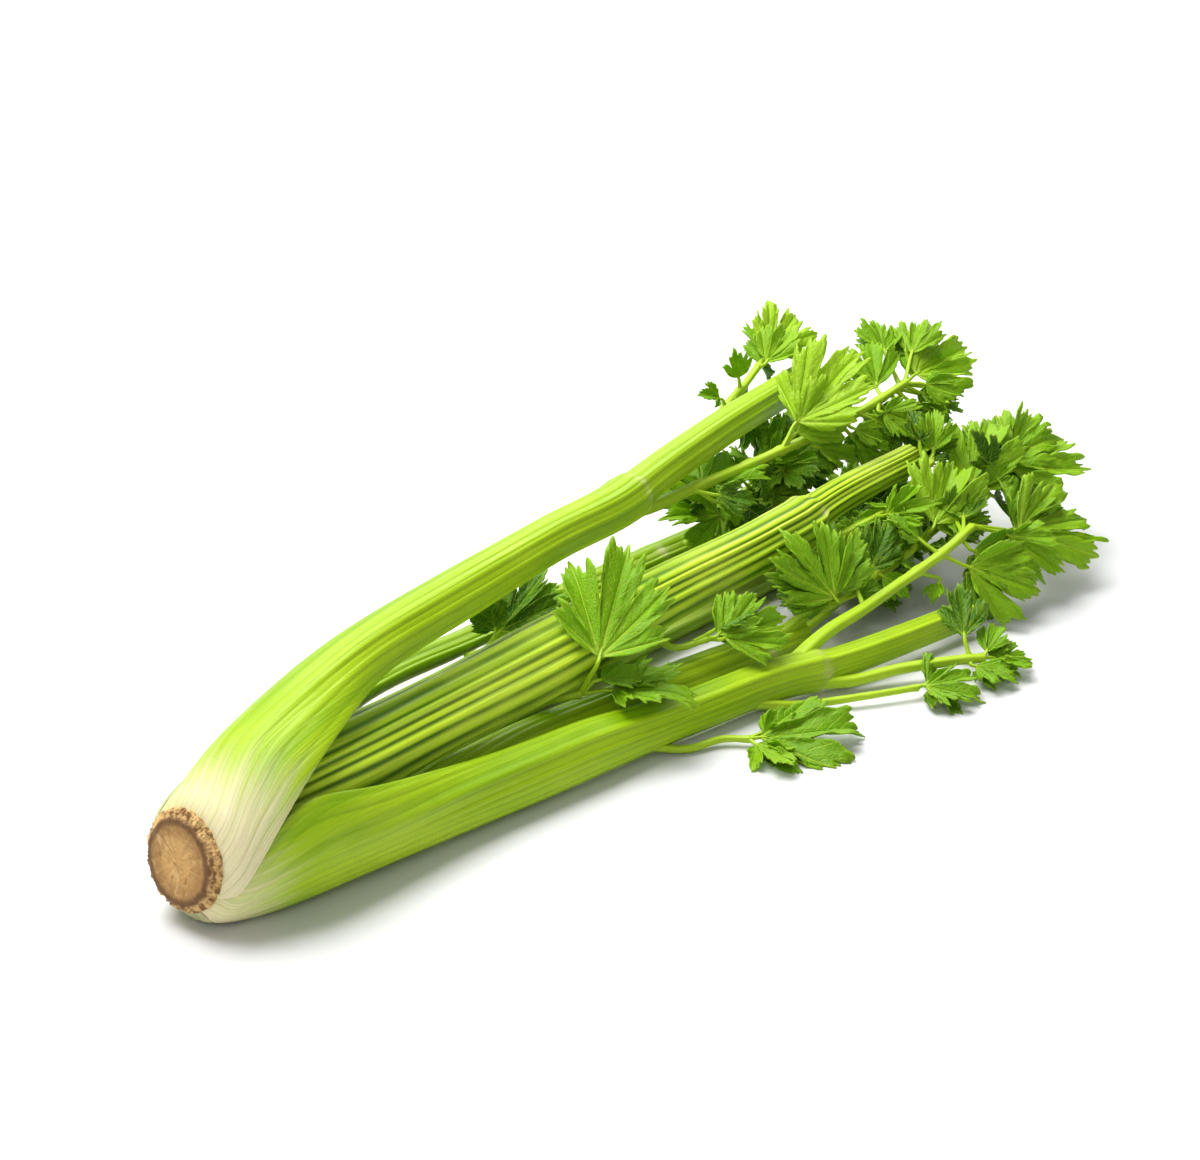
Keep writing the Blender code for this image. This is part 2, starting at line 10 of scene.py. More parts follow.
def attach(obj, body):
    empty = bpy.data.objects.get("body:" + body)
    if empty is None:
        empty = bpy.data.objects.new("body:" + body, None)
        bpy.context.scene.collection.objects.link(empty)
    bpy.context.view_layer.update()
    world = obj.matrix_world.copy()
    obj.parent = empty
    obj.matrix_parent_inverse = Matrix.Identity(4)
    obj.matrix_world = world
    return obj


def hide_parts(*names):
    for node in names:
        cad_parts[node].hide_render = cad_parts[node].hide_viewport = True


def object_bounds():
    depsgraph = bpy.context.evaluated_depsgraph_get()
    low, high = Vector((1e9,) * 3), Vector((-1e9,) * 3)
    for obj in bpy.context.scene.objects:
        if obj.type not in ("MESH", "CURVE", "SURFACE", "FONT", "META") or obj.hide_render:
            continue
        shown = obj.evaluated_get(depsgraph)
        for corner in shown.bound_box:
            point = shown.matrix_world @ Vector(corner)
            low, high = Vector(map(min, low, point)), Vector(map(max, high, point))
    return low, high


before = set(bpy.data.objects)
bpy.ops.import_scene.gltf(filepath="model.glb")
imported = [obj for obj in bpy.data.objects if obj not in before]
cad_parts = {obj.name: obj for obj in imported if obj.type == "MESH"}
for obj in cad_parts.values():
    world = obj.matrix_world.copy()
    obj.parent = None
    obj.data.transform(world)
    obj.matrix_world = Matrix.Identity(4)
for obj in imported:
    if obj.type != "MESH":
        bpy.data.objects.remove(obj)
cadLow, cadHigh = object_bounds()
bpy.ops.object.select_all(action="DESELECT")

mm = 0.001
fullTurn = 6.3  # radians, near enough for seams and for waves that start anywhere

# the cut root end: its centre, and how far its face looks up and to the side
butt = {"x": -216.0, "y": -14.0, "z": 23.0, "tilt": 10.0, "yaw": -5.0}
buttCentre = Vector((butt["x"], butt["y"], butt["z"]))
buttTilt, buttYaw = math.radians(butt["tilt"]), math.radians(butt["yaw"])
faceNormal = Vector((
    -math.cos(buttTilt) * math.cos(buttYaw),
    math.cos(buttTilt) * math.sin(buttYaw),
    math.sin(buttTilt),
))


# small helpers for node trees

def newMaterial(name):
    made = bpy.data.materials.new(name)
    made.use_nodes = True
    tree = made.node_tree
    return made, tree, tree.nodes["Principled BSDF"]


def setSockets(shader, values):
    for key, value in values.items():
        shader.inputs[key].default_value = value


def link(tree, out, socket):
    tree.links.new(out, socket)


def feed(tree, socket, value):
    if isinstance(value, bpy.types.NodeSocket):
        tree.links.new(value, socket)
    else:
        socket.default_value = value


def maths(tree, kind, a, b=0.0, c=0.0, clamp=False):
    node = tree.nodes.new("ShaderNodeMath")
    node.operation = kind
    node.use_clamp = clamp
    for socket, value in zip(node.inputs, (a, b, c)):
        feed(tree, socket, value)
    return node.outputs[0]


def swing(tree, value, amount):
    # a noise as a swing to both sides of nought
    return maths(tree, "MULTIPLY", maths(tree, "SUBTRACT", value, 0.5), amount)


def ramp(tree, value, low, high, outLow=0.0, outHigh=1.0):
    node = tree.nodes.new("ShaderNodeMapRange")
    node.interpolation_type = "SMOOTHSTEP"
    keys = ("Value", "From Min", "From Max", "To Min", "To Max")
    for key, number in zip(keys, (value, low, high, outLow, outHigh)):
        feed(tree, node.inputs[key], number)
    return node.outputs[0]


def mixColour(tree, share, a, b):
    node = tree.nodes.new("ShaderNodeMix")
    node.data_type = "RGBA"
    feed(tree, node.inputs[0], share)
    feed(tree, node.inputs[6], (*a, 1.0) if isinstance(a, tuple) else a)
    feed(tree, node.inputs[7], (*b, 1.0) if isinstance(b, tuple) else b)
    return node.outputs[2]


def tint(tree, under, over, value, low, high, share=1.0):
    # lays a colour over another where a value rises from low to high
    amount = ramp(tree, value, low, high)
    if share < 1:
        amount = maths(tree, "MULTIPLY", amount, share)
    return mixColour(tree, amount, under, over)


def attribute(tree, name):
    node = tree.nodes.new("ShaderNodeAttribute")
    node.attribute_name = name
    return node.outputs["Fac"]


def noise(tree, vector, scale, detail=3.0, rough=0.55):
    node = tree.nodes.new("ShaderNodeTexNoise")
    setSockets(node, {"Scale": scale, "Detail": detail, "Roughness": rough})
    link(tree, vector, node.inputs["Vector"])
    return node.outputs["Fac"]


def strands(tree, flow, across, along, detail, rough):
    # a noise that is drawn out, with so many cells to a metre across and along the piece
    node = tree.nodes.new("ShaderNodeMapping")
    node.inputs["Scale"].default_value = (across, along, 1)
    link(tree, flow, node.inputs["Vector"])
    return noise(tree, node.outputs[0], 1.0, detail, rough)


def bump(tree, height, strength, distance, before=None):
    node = tree.nodes.new("ShaderNodeBump")
    setSockets(node, {"Strength": strength, "Distance": distance})
    link(tree, height, node.inputs["Height"])
    if before is not None:
        link(tree, before, node.inputs["Normal"])
    return node.outputs[0]


def coordinates(tree, kind):
    return tree.nodes.new("ShaderNodeTexCoord").outputs[kind]


# mesh helpers

def makePiece(name, points, faces, finishes, values, uv, sharpAngle, faceFinish=None):
    mesh = bpy.data.meshes.new(name)
    mesh.from_pydata((np.asarray(points) * mm).tolist(), [], faces)
    for finish in finishes:
        mesh.materials.append(finish)
    for key, numbers in values.items():
        layer = mesh.attributes.new(key, "FLOAT", "POINT")
        layer.data.foreach_set("value", np.asarray(numbers, np.float32))
    layer = mesh.uv_layers.new(name="surface")
    layer.data.foreach_set("uv", np.asarray(uv, np.float32).ravel())
    if faceFinish is not None:
        mesh.polygons.foreach_set("material_index", np.asarray(faceFinish, np.int32))
    mesh.validate()
    mesh.update()
    piece = bpy.data.objects.new(name, mesh)
    bpy.context.scene.collection.objects.link(piece)
    mesh.shade_smooth()
    if sharpAngle:
        mesh.set_sharp_from_angle(angle=math.radians(sharpAngle))
    return piece


def fit(piece, node):
    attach(piece, "root")
    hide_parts(node)
    return piece


def unit(rows):
    return rows / np.linalg.norm(rows, axis=1)[:, None]


def travelAlong(points):
    # how far each point lies along the path
    return np.concatenate([[0], np.cumsum(np.linalg.norm(np.diff(points, axis=0), axis=1))])


def pathTangents(points):
    return unit(np.gradient(points, axis=0))


def smoothRows(rows, step):
    # a cubic through the rows by the distance along them, about one station a step
    steepest = 1.5  # times the gentler of the two slopes that meet at a row
    rows = np.asarray(rows, float)
    reach = np.linalg.norm(np.diff(rows[:, :3], axis=0), axis=1)
    far = np.concatenate([[0], np.cumsum(reach)])
    reach = reach[:, None]
    rise = np.diff(rows, axis=0) / reach
    inner = (rise[:-1] * reach[1:] + rise[1:] * reach[:-1]) / (reach[:-1] + reach[1:])
    # the sizes after x, y and z don't overshoot: no slope where they turn, a gentle one elsewhere
    turns = rise[:-1] * rise[1:] <= 0
    gentle = np.sign(inner) * np.minimum(np.abs(rise[:-1]), np.abs(rise[1:])) * steepest
    gentle = np.where(turns, 0.0, gentle)
    inner[:, 3:] = np.where(np.abs(gentle) < np.abs(inner), gentle, inner)[:, 3:]
    slope = np.vstack([rise[:1], inner, rise[-1:]])
    at = np.linspace(0, far[-1], max(2, int(round(far[-1] / step)) + 1))
    i = np.clip(np.searchsorted(far, at, side="right") - 1, 0, len(reach) - 1)
    t = ((at - far[i]) / reach[i, 0])[:, None]
    held = (2 * t**3 - 3 * t**2 + 1) * rows[i] + (3 * t**2 - 2 * t**3) * rows[i + 1]
    return held + reach[i] * ((t**3 - 2 * t**2 + t) * slope[i] + (t**3 - t**2) * slope[i + 1])


def waves(seed, count, low, high):
    # a few sine waves with seeded phases, for slow unevenness
    draw = np.random.default_rng(seed)
    rates = draw.uniform(low, high, count)
    phases = draw.uniform(0, 2 * math.pi, count)

    def value(x):
        x = np.asarray(x, float)[..., None]
        return np.sin(x * rates + phases).sum(-1) / count

    return value


def softStep(x, low, high):
    t = np.clip((np.asarray(x, float) - low) / (high - low), 0, 1)
    return t * t * (3 - 2 * t)


def hill(x, middle, wide):
    return np.exp(-(((x - middle) / wide) ** 2))


# finishes

stalkLook = {
    "white": (0.87, 0.80, 0.50),
    "cream": (0.82, 0.69, 0.42),
    "green": (0.36, 0.56, 0.003),
    "deep": (0.21, 0.37, 0.0),
    "bright": (0.52, 0.69, 0.03),
    "band": (0.14, 0.32, 0.0),
    "shade": (0.07, 0.15, 0.0),
    "channel": (0.44, 0.58, 0.06),
    "sockets": {
        "Subsurface Weight": 0.07,
        "Subsurface Radius": (0.004, 0.005, 0.001),
        "Subsurface Scale": 0.6,
        "Specular IOR Level": 0.26,
    },
}
# the middle stalk has a lit copy of the skin: brighter ribs as painted light where light falls on them, and
# darker grooves as painted shade
paintedLightLook = {
    **stalkLook,
    "green": (0.60, 0.82, 0.03),
    "deep": (0.06, 0.16, 0.0),
    "bright": (0.72, 0.88, 0.09),
}


def makeStalkSkin(name, look, darker=0.0):
    made, tree, shader = newMaterial(name)
    flow = coordinates(tree, "UV")
    # fine strings along the stalk, streaks, bands, marks across it, and blotches
    strings = strands(tree, flow, 900, 14, 4.0, 0.6)
    streaks = strands(tree, flow, 260, 5, 3.0, 0.5)
    bands = strands(tree, flow, 105, 3.5, 3.0, 0.55)
    crossed = strands(tree, flow, 240, 850, 2.0, 0.5)
    cloud = noise(tree, coordinates(tree, "Object"), 28.0, 2.0, 0.5)
    # the grooves between the ribs take the deep colour, as painted shade in the grooves
    green = tint(tree, look["deep"], look["green"], attribute(tree, "rib"), 0.05, 0.75)
    green = tint(tree, green, look["band"], bands, 0.44, 0.66, 0.55)
    green = tint(tree, green, look["bright"], cloud, 0.4, 0.75, 0.4)
    green = mixColour(tree, maths(tree, "MULTIPLY", attribute(tree, "inner"), 0.75), green, look["channel"])
    white = tint(tree, look["white"], look["cream"], strings, 0.35, 0.7)
    reach = maths(tree, "ADD", attribute(tree, "pale"), swing(tree, streaks, 0.9))
    colour = tint(tree, green, white, reach, 0.05, 1.05)
    colour = tint(tree, colour, look["deep"], strings, 0.48, 0.72, 0.34)
    if darker:
        colour = mixColour(tree, darker, colour, look["shade"])
    link(tree, colour, shader.inputs["Base Color"])
    link(tree, maths(tree, "MULTIPLY_ADD", strings, 0.22, 0.30), shader.inputs["Roughness"])
    setSockets(shader, look["sockets"])
    relief = bump(tree, strings, 0.6, 0.0007)
    link(tree, bump(tree, crossed, 0.28, 0.0004, relief), shader.inputs["Normal"])
    return made


cutLook = {
    "wet": (0.62, 0.66, 0.22),
    "dry": (0.80, 0.80, 0.42),
    "sockets": {"Roughness": 0.5, "Subsurface Weight": 0.2, "Subsurface Radius": (0.004, 0.004, 0.002)},
}


def makeCutFlesh(name, look):
    made, tree, shader = newMaterial(name)
    grain = noise(tree, coordinates(tree, "Object"), 900.0, 3.0, 0.6)
    link(tree, tint(tree, look["wet"], look["dry"], grain, 0.35, 0.7), shader.inputs["Base Color"])
    setSockets(shader, look["sockets"])
    link(tree, bump(tree, grain, 0.5, 0.0004), shader.inputs["Normal"])
    return made


leafLook = {
    # a leaflet's tone runs from dark through mid to light: the dark end is painted shade and the light end
    # painted light, besides a little random tone of its own
    "dark": (0.045, 0.19, 0.0),
    "mid": (0.24, 0.53, 0.0),
    "light": (0.48, 0.76, 0.02),
    "vein": (0.56, 0.76, 0.06),
    "veinStep": 0.105,  # of a lobe's length from one side vein to the next
    "veinSlant": -1.25,
    "netScale": 620.0,
    "gloss": 0.30,
    "through": 0.33,  # share of the light that comes through the blade
}


def makeLeafSkin(name, look):
    made, tree, shader = newMaterial(name)
    place = coordinates(tree, "Object")
    split = tree.nodes.new("ShaderNodeSeparateXYZ")
    link(tree, coordinates(tree, "UV"), split.inputs[0])
    along = split.outputs["X"]
    across = maths(tree, "ABSOLUTE", split.outputs["Y"])
    tone = attribute(tree, "tone")
    margin = attribute(tree, "margin")
    # the midrib of each lobe, and side veins that leave it at a slant
    ribWidth = maths(tree, "MULTIPLY_ADD", along, -0.010, 0.017)
    midrib = ramp(tree, maths(tree, "DIVIDE", across, ribWidth), 0.5, 1.3, 1.0, 0.0)
    wander = swing(tree, noise(tree, place, 90.0, 1.0), 0.035)
    slant = maths(tree, "ADD", maths(tree, "MULTIPLY_ADD", across, look["veinSlant"], along), wander)
    step = maths(tree, "FRACT", maths(tree, "DIVIDE", slant, look["veinStep"]))
    line = maths(tree, "ABSOLUTE", maths(tree, "SUBTRACT", step, 0.5))
    side = ramp(tree, line, 0.03, 0.10, 1.0, 0.0)
    side = maths(tree, "MULTIPLY", side, ramp(tree, margin, 0.75, 1.0, 1.0, 0.25))
    vein = maths(tree, "MAXIMUM", midrib, maths(tree, "MULTIPLY", side, 0.6), clamp=True)
    net = tree.nodes.new("ShaderNodeTexVoronoi")
    net.feature = "DISTANCE_TO_EDGE"
    net.inputs["Scale"].default_value = look["netScale"]
    link(tree, place, net.inputs["Vector"])
    cell = ramp(tree, net.outputs["Distance"], 0.0, 0.22)
    cloud = noise(tree, place, 120.0, 3.0, 0.6)
    # painted shade and light: the body goes from dark to light by the leaflet's tone
    body = tint(tree, look["dark"], look["mid"], tone, 0.0, 0.5)
    body = tint(tree, body, look["light"], tone, 0.5, 1.0)
    body = tint(tree, body, look["light"], cloud, 0.45, 0.8, 0.4)
    netShare = maths(tree, "MULTIPLY", maths(tree, "SUBTRACT", 1.0, cell), 0.12)
    body = mixColour(tree, netShare, body, look["vein"])
    body = tint(tree, body, look["vein"], margin, 0.9, 1.0, 0.25)
    colour = mixColour(tree, maths(tree, "MULTIPLY", vein, 0.72), body, look["vein"])
    link(tree, colour, shader.inputs["Base Color"])
    link(tree, maths(tree, "MULTIPLY_ADD", cloud, 0.2, 0.34), shader.inputs["Roughness"])
    shader.inputs["Specular IOR Level"].default_value = look["gloss"]
    height = maths(tree, "SUBTRACT", maths(tree, "MULTIPLY", cell, 0.35), vein)
    relief = bump(tree, height, 0.55, 0.0006)
    link(tree, bump(tree, cloud, 0.3, 0.0012, relief), shader.inputs["Normal"])
    # light from behind comes through the blade
    through = tree.nodes.new("ShaderNodeBsdfTranslucent")
    link(tree, colour, through.inputs["Color"])
    both = tree.nodes.new("ShaderNodeMixShader")
    both.inputs[0].default_value = look["through"]
    link(tree, shader.outputs[0], both.inputs[1])
    link(tree, through.outputs[0], both.inputs[2])
    link(tree, both.outputs[0], tree.nodes["Material Output"].inputs["Surface"])
    return made


branchLook = {
    "dark": (0.20, 0.42, 0.0),
    "light": (0.46, 0.66, 0.02),
    "cloud": (0.54, 0.72, 0.05),
    "string": (0.22, 0.40, 0.012),
    "sockets": {
        "Roughness": 0.38,
        "Specular IOR Level": 0.28,
        "Subsurface Weight": 0.1,
        "Subsurface Radius": (0.002, 0.003, 0.001),
    },
}


def makeBranchSkin(name, look):
    made, tree, shader = newMaterial(name)
    strings = strands(tree, coordinates(tree, "UV"), 1500, 30, 3.0, 0.6)
    cloud = noise(tree, coordinates(tree, "Object"), 60.0, 2.0, 0.5)
    # from dark to light by the tone, which carries painted shade and light from the leaflets
    body = mixColour(tree, attribute(tree, "tone"), look["dark"], look["light"])
    body = tint(tree, body, look["cloud"], cloud, 0.4, 0.75, 0.35)
    link(tree, tint(tree, body, look["string"], strings, 0.5, 0.75, 0.4), shader.inputs["Base Color"])
    setSockets(shader, look["sockets"])
    link(tree, bump(tree, strings, 0.5, 0.0004), shader.inputs["Normal"])
    return made


stalkSkin = makeStalkSkin("stalkSkin", stalkLook)
stalkSkinShaded = makeStalkSkin("stalkSkinShaded", stalkLook, 0.35)
# the middle stalk's skin, with painted light on its ribs and painted shade in its grooves
stalkSkinPaintedLight = makeStalkSkin("stalkSkinPaintedLight", paintedLightLook)
cutFlesh = makeCutFlesh("cutFlesh", cutLook)
leafSkin = makeLeafSkin("leafSkin", leafLook)
branchSkin = makeBranchSkin("branchSkin", branchLook)
print("finishes made")


# stalks

# rows: x, y, z, radius, half angle, wall, the way the back faces
# laps: side, rise and turn of a margin that laps over; ridges: place across, rise, width
stalks = {
    "stalk_upper": {
        "ribs": 11, "ribHeight": 0.42, "ribWidth": 2.6, "groove": 0.75,
        "ridges": ((-0.3, 0.5, 0.10), (0.12, 0.6, 0.12)), "node": 16.0,
        "skin": stalkSkin, "seed": 11, "white": (-224, -166, 10),
        "laps": ((1, 1.0, 4), (-1, 0.0, 3)),
        "rows": (
            (-212.5, -14.7, 22.7, 15.9, 92, 3.4, 112),
            (-209.0, -15, 23, 20.4, 86, 4, 106),
            (-203, -15.2, 24, 22.7, 76.5, 4.5, 94.5),
            (-195, -15.4, 25.4, 25.3, 65, 5, 84.5),
            (-186, -14.6, 28.3, 26.1, 59, 5, 81),
            (-172, -10.8, 35.4, 24.1, 58.5, 6, 80.5),
            (-155, -5.2, 45.4, 18.9, 64.5, 6.5, 87),
            (-136, 1, 55.8, 11.8, 84, 7, 101),
            (-117, 3.5, 59, 10.5, 92, 7, 106),
            (-90, 7.5, 60.6, 10.2, 95, 7, 108),
            (-32, 18, 62.2, 9, 97, 6.5, 110),
            (12, 25, 62.4, 9.2, 98, 6.5, 112),
            (20, 27.5, 62.8, 7.6, 98, 6, 112),
            (78, 46, 62, 7.3, 98, 6, 112),
            (142, 66, 58, 7, 98, 5.5, 112),
        ),
    },
    "stalk_front": {
        "ribs": 11, "ribHeight": 0.40, "ribWidth": 2.4, "groove": 0.8,
        "ridges": ((-0.28, 0.8, 0.12), (0.4, 0.5, 0.12)), "node": 45.5,
        "skin": stalkSkin, "seed": 12, "white": (-224, -172, 8),
        "laps": ((-1, -2.2, 5),),
        "rows": (
            (-212.5, -14.7, 22.7, 15.9, 18.5, 3.4, 226),
            (-208.3, -15, 23.2, 22.3, 26, 4, 220),
            (-203, -15, 24, 26.3, 38.5, 4.5, 209),
            (-195, -14.8, 24.5, 27.6, 50.5, 5, 199),
            (-186, -14.2, 25.2, 29, 55.5, 5, 194.5),
            (-170, -16.4, 22.6, 27, 51.5, 6, 195.5),
            (-150, -21.7, 18.3, 20.4, 58, 7, 190),
            (-128, -25.8, 13.8, 14.4, 75, 8, 175),
            (-102, -28.4, 11, 11, 92, 7.5, 162),
            (-59, -30.5, 10.4, 10.3, 95, 7, 158),
            (-12, -32.8, 8.4, 8.2, 95, 6, 158),
            (33, -36.9, 8, 8, 95, 6, 158),
            (42, -39.5, 8, 8, 95, 6, 158),
            (49, -41, 8, 6.3, 95, 5, 158),
            (118, -47.5, 7.6, 5.6, 95, 4.5, 158),
        ),
    },
    "stalk_middle": {
        "ribs": 9, "ribHeight": 1.5, "ribWidth": 1.15, "node": 88.0, "skin": stalkSkinPaintedLight, "seed": 13,
        "rows": (
            (-188, -14, 27.5, 15.5, 52, 5, 135),
            (-174, -13, 28.5, 20, 52, 6, 137),
            (-150, -10.5, 28.5, 16.5, 66, 7, 140),
            (-118, -6.5, 29.5, 12.4, 88, 8, 144),
            (-90, -5, 30.5, 12.1, 95, 8, 146),
            (-62, -4, 32, 12.7, 95, 8, 146),
            (-31, -2.5, 34, 12, 95, 7.5, 146),
            (3, -0.4, 35.5, 10, 95, 7, 146),
            (64, 3, 37.5, 9, 95, 6.5, 146),
            (84, 5, 38.5, 9, 95, 6.5, 146),
            (92, 6.5, 39.3, 6.6, 95, 5, 146),
            (150, 11, 42, 5.5, 95, 4.5, 146),
        ),
    },
    "stalk_back": {
        "ribs": 8, "ribHeight": 0.9, "ribWidth": 1.6, "node": 60.0, "skin": stalkSkinShaded, "seed": 14,
        "rows": (
            (-212.5, -14.7, 22.7, 15.9, 38, 3.4, -20),
            (-208.3, -15, 23.2, 22.3, 38, 4, -20),
            (-203, -15, 24, 26.3, 38, 4.5, -20),
            (-195, -15, 25, 28.3, 38, 5, -20),
            (-186, -14, 26, 29.3, 38, 5, -20),
            (-170, -7, 25, 26, 42, 5.5, -18),
            (-148, 8, 21, 17, 56, 6, -8),
            (-120, 29, 15, 10.5, 76, 6.5, 20),
            (-91, 44.5, 12.8, 8.6, 90, 6, 45),
            (-40, 49.5, 12, 8.2, 92, 5.5, 50),
            (20, 54.5, 11, 8.2, 92, 5.5, 55),
            (112, 68, 4.8, 7.2, 92, 5, 60),
        ),
    },
    "stalk_under": {
        "ribs": 7, "ribHeight": 0.7, "ribWidth": 2.0, "node": 70.0, "skin": stalkSkinShaded, "seed": 15,
        "rows": (
            (-212.5, -14.7, 22.7, 15.9, 27, 3.4, 274),
            (-208.3, -15, 23.2, 22.3, 27, 4, 274),
            (-203, -15, 24, 24.3, 27, 4.5, 274),
            (-195, -15, 25, 25.3, 27, 4.5, 274),
            (-186, -14, 26, 26.2, 27, 5, 274),
            (-170, -10, 24, 24, 30, 6, 274),
            (-145, -1, 17, 16.5, 44, 6, 272),
            (-110, 10, 11.5, 11, 75, 6.5, 270),
            (-60, 16, 10, 9.6, 92, 6.5, 272),
            (110, 30, 8.1, 8, 92, 5.5, 275),
        ),
    },
    "stalk_low": {
        "ribs": 8, "ribHeight": 0.7, "ribWidth": 1.6, "node": 40.0, "skin": stalkSkin, "seed": 16,
        "rows": (
            (-188, -15, 26.5, 15.5, 20, 4.5, 214),
            (-172, -16, 25, 19, 22, 5.5, 212),
            (-147, -15.5, 18, 12.5, 44, 6, 205),
            (-115, -12.5, 11.5, 9.2, 76, 6.5, 185),
            (-65, -10.5, 8.8, 8.3, 90, 6.5, 160),
            (0, -14, 8.4, 7.8, 92, 6, 155),
            (60, -18, 7.8, 6.6, 92, 5, 150),
        ),
    },
    "stalk_inner": {
        "ribs": 6, "ribHeight": 0.6, "ribWidth": 2.0, "node": 60.0, "skin": stalkSkinShaded, "seed": 17,
        "rows": (
            (-188, -13, 27.5, 15.5, 44, 4.5, -15),
            (-170, -9, 27, 18.5, 40, 5, -15),
            (-142, 6, 20, 12.5, 50, 6, -10),
            (-110, 24, 12, 8, 80, 5.5, 5),
            (-60, 33.5, 8.5, 7, 92, 5, 20),
            (90, 46, 8, 6.5, 92, 4.5, 40),
        ),
    },
}
stalkForm = {
    "step": 1.5,  # mm between stations
    "perRib": 8,  # points across a rib
    "marginShare": 0.4,  # of the wall that is left at its margins
    "leanEnd": -172.0,  # where the stations no longer lean with the cut face
    "leanLength": 34.0,
    "ribsGrow": (-205, -120),  # low at the base sheath, full from there on
    "ridgesGrow": (-195, -150),
    "collar": 0.7,  # mm that the node ring stands out
    "dents": 0.14,  # mm, and where they begin
    "dentsBegin": (-190, -150),
    "lapsEnd": (-175, -120),
    "averaging": 170,  # rounds, and where they begin and end
    "averagedFrom": (-209, -196),
    "averagedTo": (-95, -60),
    "white": (-224, -176, 0),  # where the pale base fades, and its slant
}


def makeStalk(name, look):
    rows = smoothRows(look["rows"], stalkForm["step"])
    centre, x, radius, wall = rows[:, :3], rows[:, 0], rows[:, 3], rows[:, 5]
    half, facing = np.radians(rows[:, 4]), np.radians(rows[:, 6])
    lean = np.clip((stalkForm["leanEnd"] - x) / stalkForm["leanLength"], 0, 1)[:, None]
    along = unit(pathTangents(centre) * (1 - lean) + np.array(-faceNormal) * lean)
    out = np.stack([np.zeros_like(x), np.cos(facing), np.sin(facing)], 1)
    out = unit(out - along * (out * along).sum(1)[:, None])
    side = np.cross(along, out)
    travel = travelAlong(centre)

    columns = look["ribs"] * stalkForm["perRib"] + 1
    v = np.linspace(-1, 1, columns)[None, :]
    travelled = travel[:, None]
    slow = waves(look["seed"], 5, 0.02, 0.09)
    shift = 0.03 * slow(travelled + 40 * np.abs(v))
    place = ((v + 1) / 2 + 0.035 * np.sin(5.5 * v + look["seed"])) * look["ribs"] + shift
    crest = 1 - np.abs(2 * (place % 1.0) - 1) ** look["ribWidth"]
    # ribs differ in height from one to the next, and fade at the base sheath
    uneven = 0.8 + 0.5 * np.sin(np.floor(place) * 2.7 + look["seed"])
    fade = softStep(x, *stalkForm["ribsGrow"])[:, None] * 0.75 + 0.25
    height = look["ribHeight"] * crest * uneven * fade * np.minimum(1.0, radius / 11)[:, None]
    for where, rise, wide in look.get("ridges", ()):
        height = height + rise * hill(v, where, wide) * softStep(x, *stalkForm["ridgesGrow"])[:, None]
    thick = wall[:, None] * (stalkForm["marginShare"] + (1 - stalkForm["marginShare"]) * (1 - v**2))
    # both faces meet in a round margin
    edge = 0.5 * thick / (radius * half)[:, None]
    over = np.clip((np.abs(v) - 1 + edge) / edge, 0, 1)
    tuck = thick / 2 * (1 - np.sqrt(np.clip(1 - over**2, 0, 1)))
    fromNode = (x[:, None] - look["node"]) + 0.9 * slow(40 * v + 7)
    knobs = 0.75 + 0.5 * slow(60 * v + 11)
    ring = stalkForm["collar"] * knobs * hill(fromNode, -0.5, 3.8)
    dented = stalkForm["dents"] * softStep(x, *stalkForm["dentsBegin"])[:, None]
    dent = dented * slow(travelled * 1.7 + 25 * v)
    skin = (radius - 0.3)[:, None] + height + ring + dent - tuck
    channel = (radius[:, None] - thick) + tuck + 0.12 * slow(travelled * 2.3 - 31 * v)

    angle = v * half[:, None]
    for sign, rise, wider in look.get("laps", ()):
        near = (1 - softStep(x, *stalkForm["lapsEnd"]))[:, None] * softStep(sign * v, 0.35, 1.0)
        skin = skin + rise * near
        channel = channel + rise * near
        angle = angle + sign * math.radians(wider) * near
    spoke = out[:, None, :] * np.cos(angle)[..., None] + side[:, None, :] * np.sin(angle)[..., None]
    outer = centre[:, None, :] + spoke * skin[..., None]
    inner = (centre[:, None, :] + spoke * channel[..., None])[:, -2:0:-1]
    rings = np.concatenate([outer, inner], 1)
    # averaged along the base, so the ribs run on there without a kink
    share = softStep(x, *stalkForm["averagedFrom"]) * (1 - softStep(x, *stalkForm["averagedTo"]))
    share = share[1:-1, None, None]
    for _ in range(stalkForm["averaging"]):
        rings[1:-1] += share * ((rings[:-2] + 2 * rings[1:-1] + rings[2:]) / 4 - rings[1:-1])
    rings[..., 2] = np.maximum(rings[..., 2], 0.0)
    stations, around = rings.shape[:2]
    within = columns - 2

    # pale base, pale node ring, paler margins
    low, high, leaning = look.get("white", stalkForm["white"])
    root = 1 - softStep(x[:, None] - leaning * v, low, high)
    collarPale = knobs * (0.32 * hill(fromNode, 0, 2.4) + 0.14 * hill(fromNode, 0, 7))
    pale = np.clip(root + collarPale + 0.25 * over, 0, 1)
    palePoints = np.concatenate([pale, pale[:, -2:0:-1]], 1)
    # the rib value is lowest in the grooves, which the skin darkens as painted shade
    grooved = 1 - look.get("groove", 1.0) * (1 - crest)
    ribPoints = np.concatenate([grooved, np.full((stations, within), 0.6)], 1)
    innerPoints = np.concatenate([np.zeros((stations, columns)), np.ones((stations, within))], 1)

    # the mesh: a skin of quads between stations, and a cut face at each end
    index = np.arange(stations * around).reshape(stations, around)
    a, b = index[:-1], index[1:]
    quads = np.stack([a, np.roll(a, -1, 1), np.roll(b, -1, 1), b], -1).reshape(-1, 4)
    ends = []
    for row, turned in ((index[0], True), (index[-1], False)):
        mirror = np.concatenate([[row[0]], row[columns:][::-1], [row[columns - 1]]])
        for i in range(columns - 1):
            face = [row[i], row[i + 1], mirror[i + 1], mirror[i]]
            face = [int(k) for n, k in enumerate(face) if k not in face[:n]]
            ends.append(face[::-1] if turned else face)
    faces = quads.tolist() + ends
    finish = np.zeros(len(faces), np.int32)
    finish[len(quads):] = 1

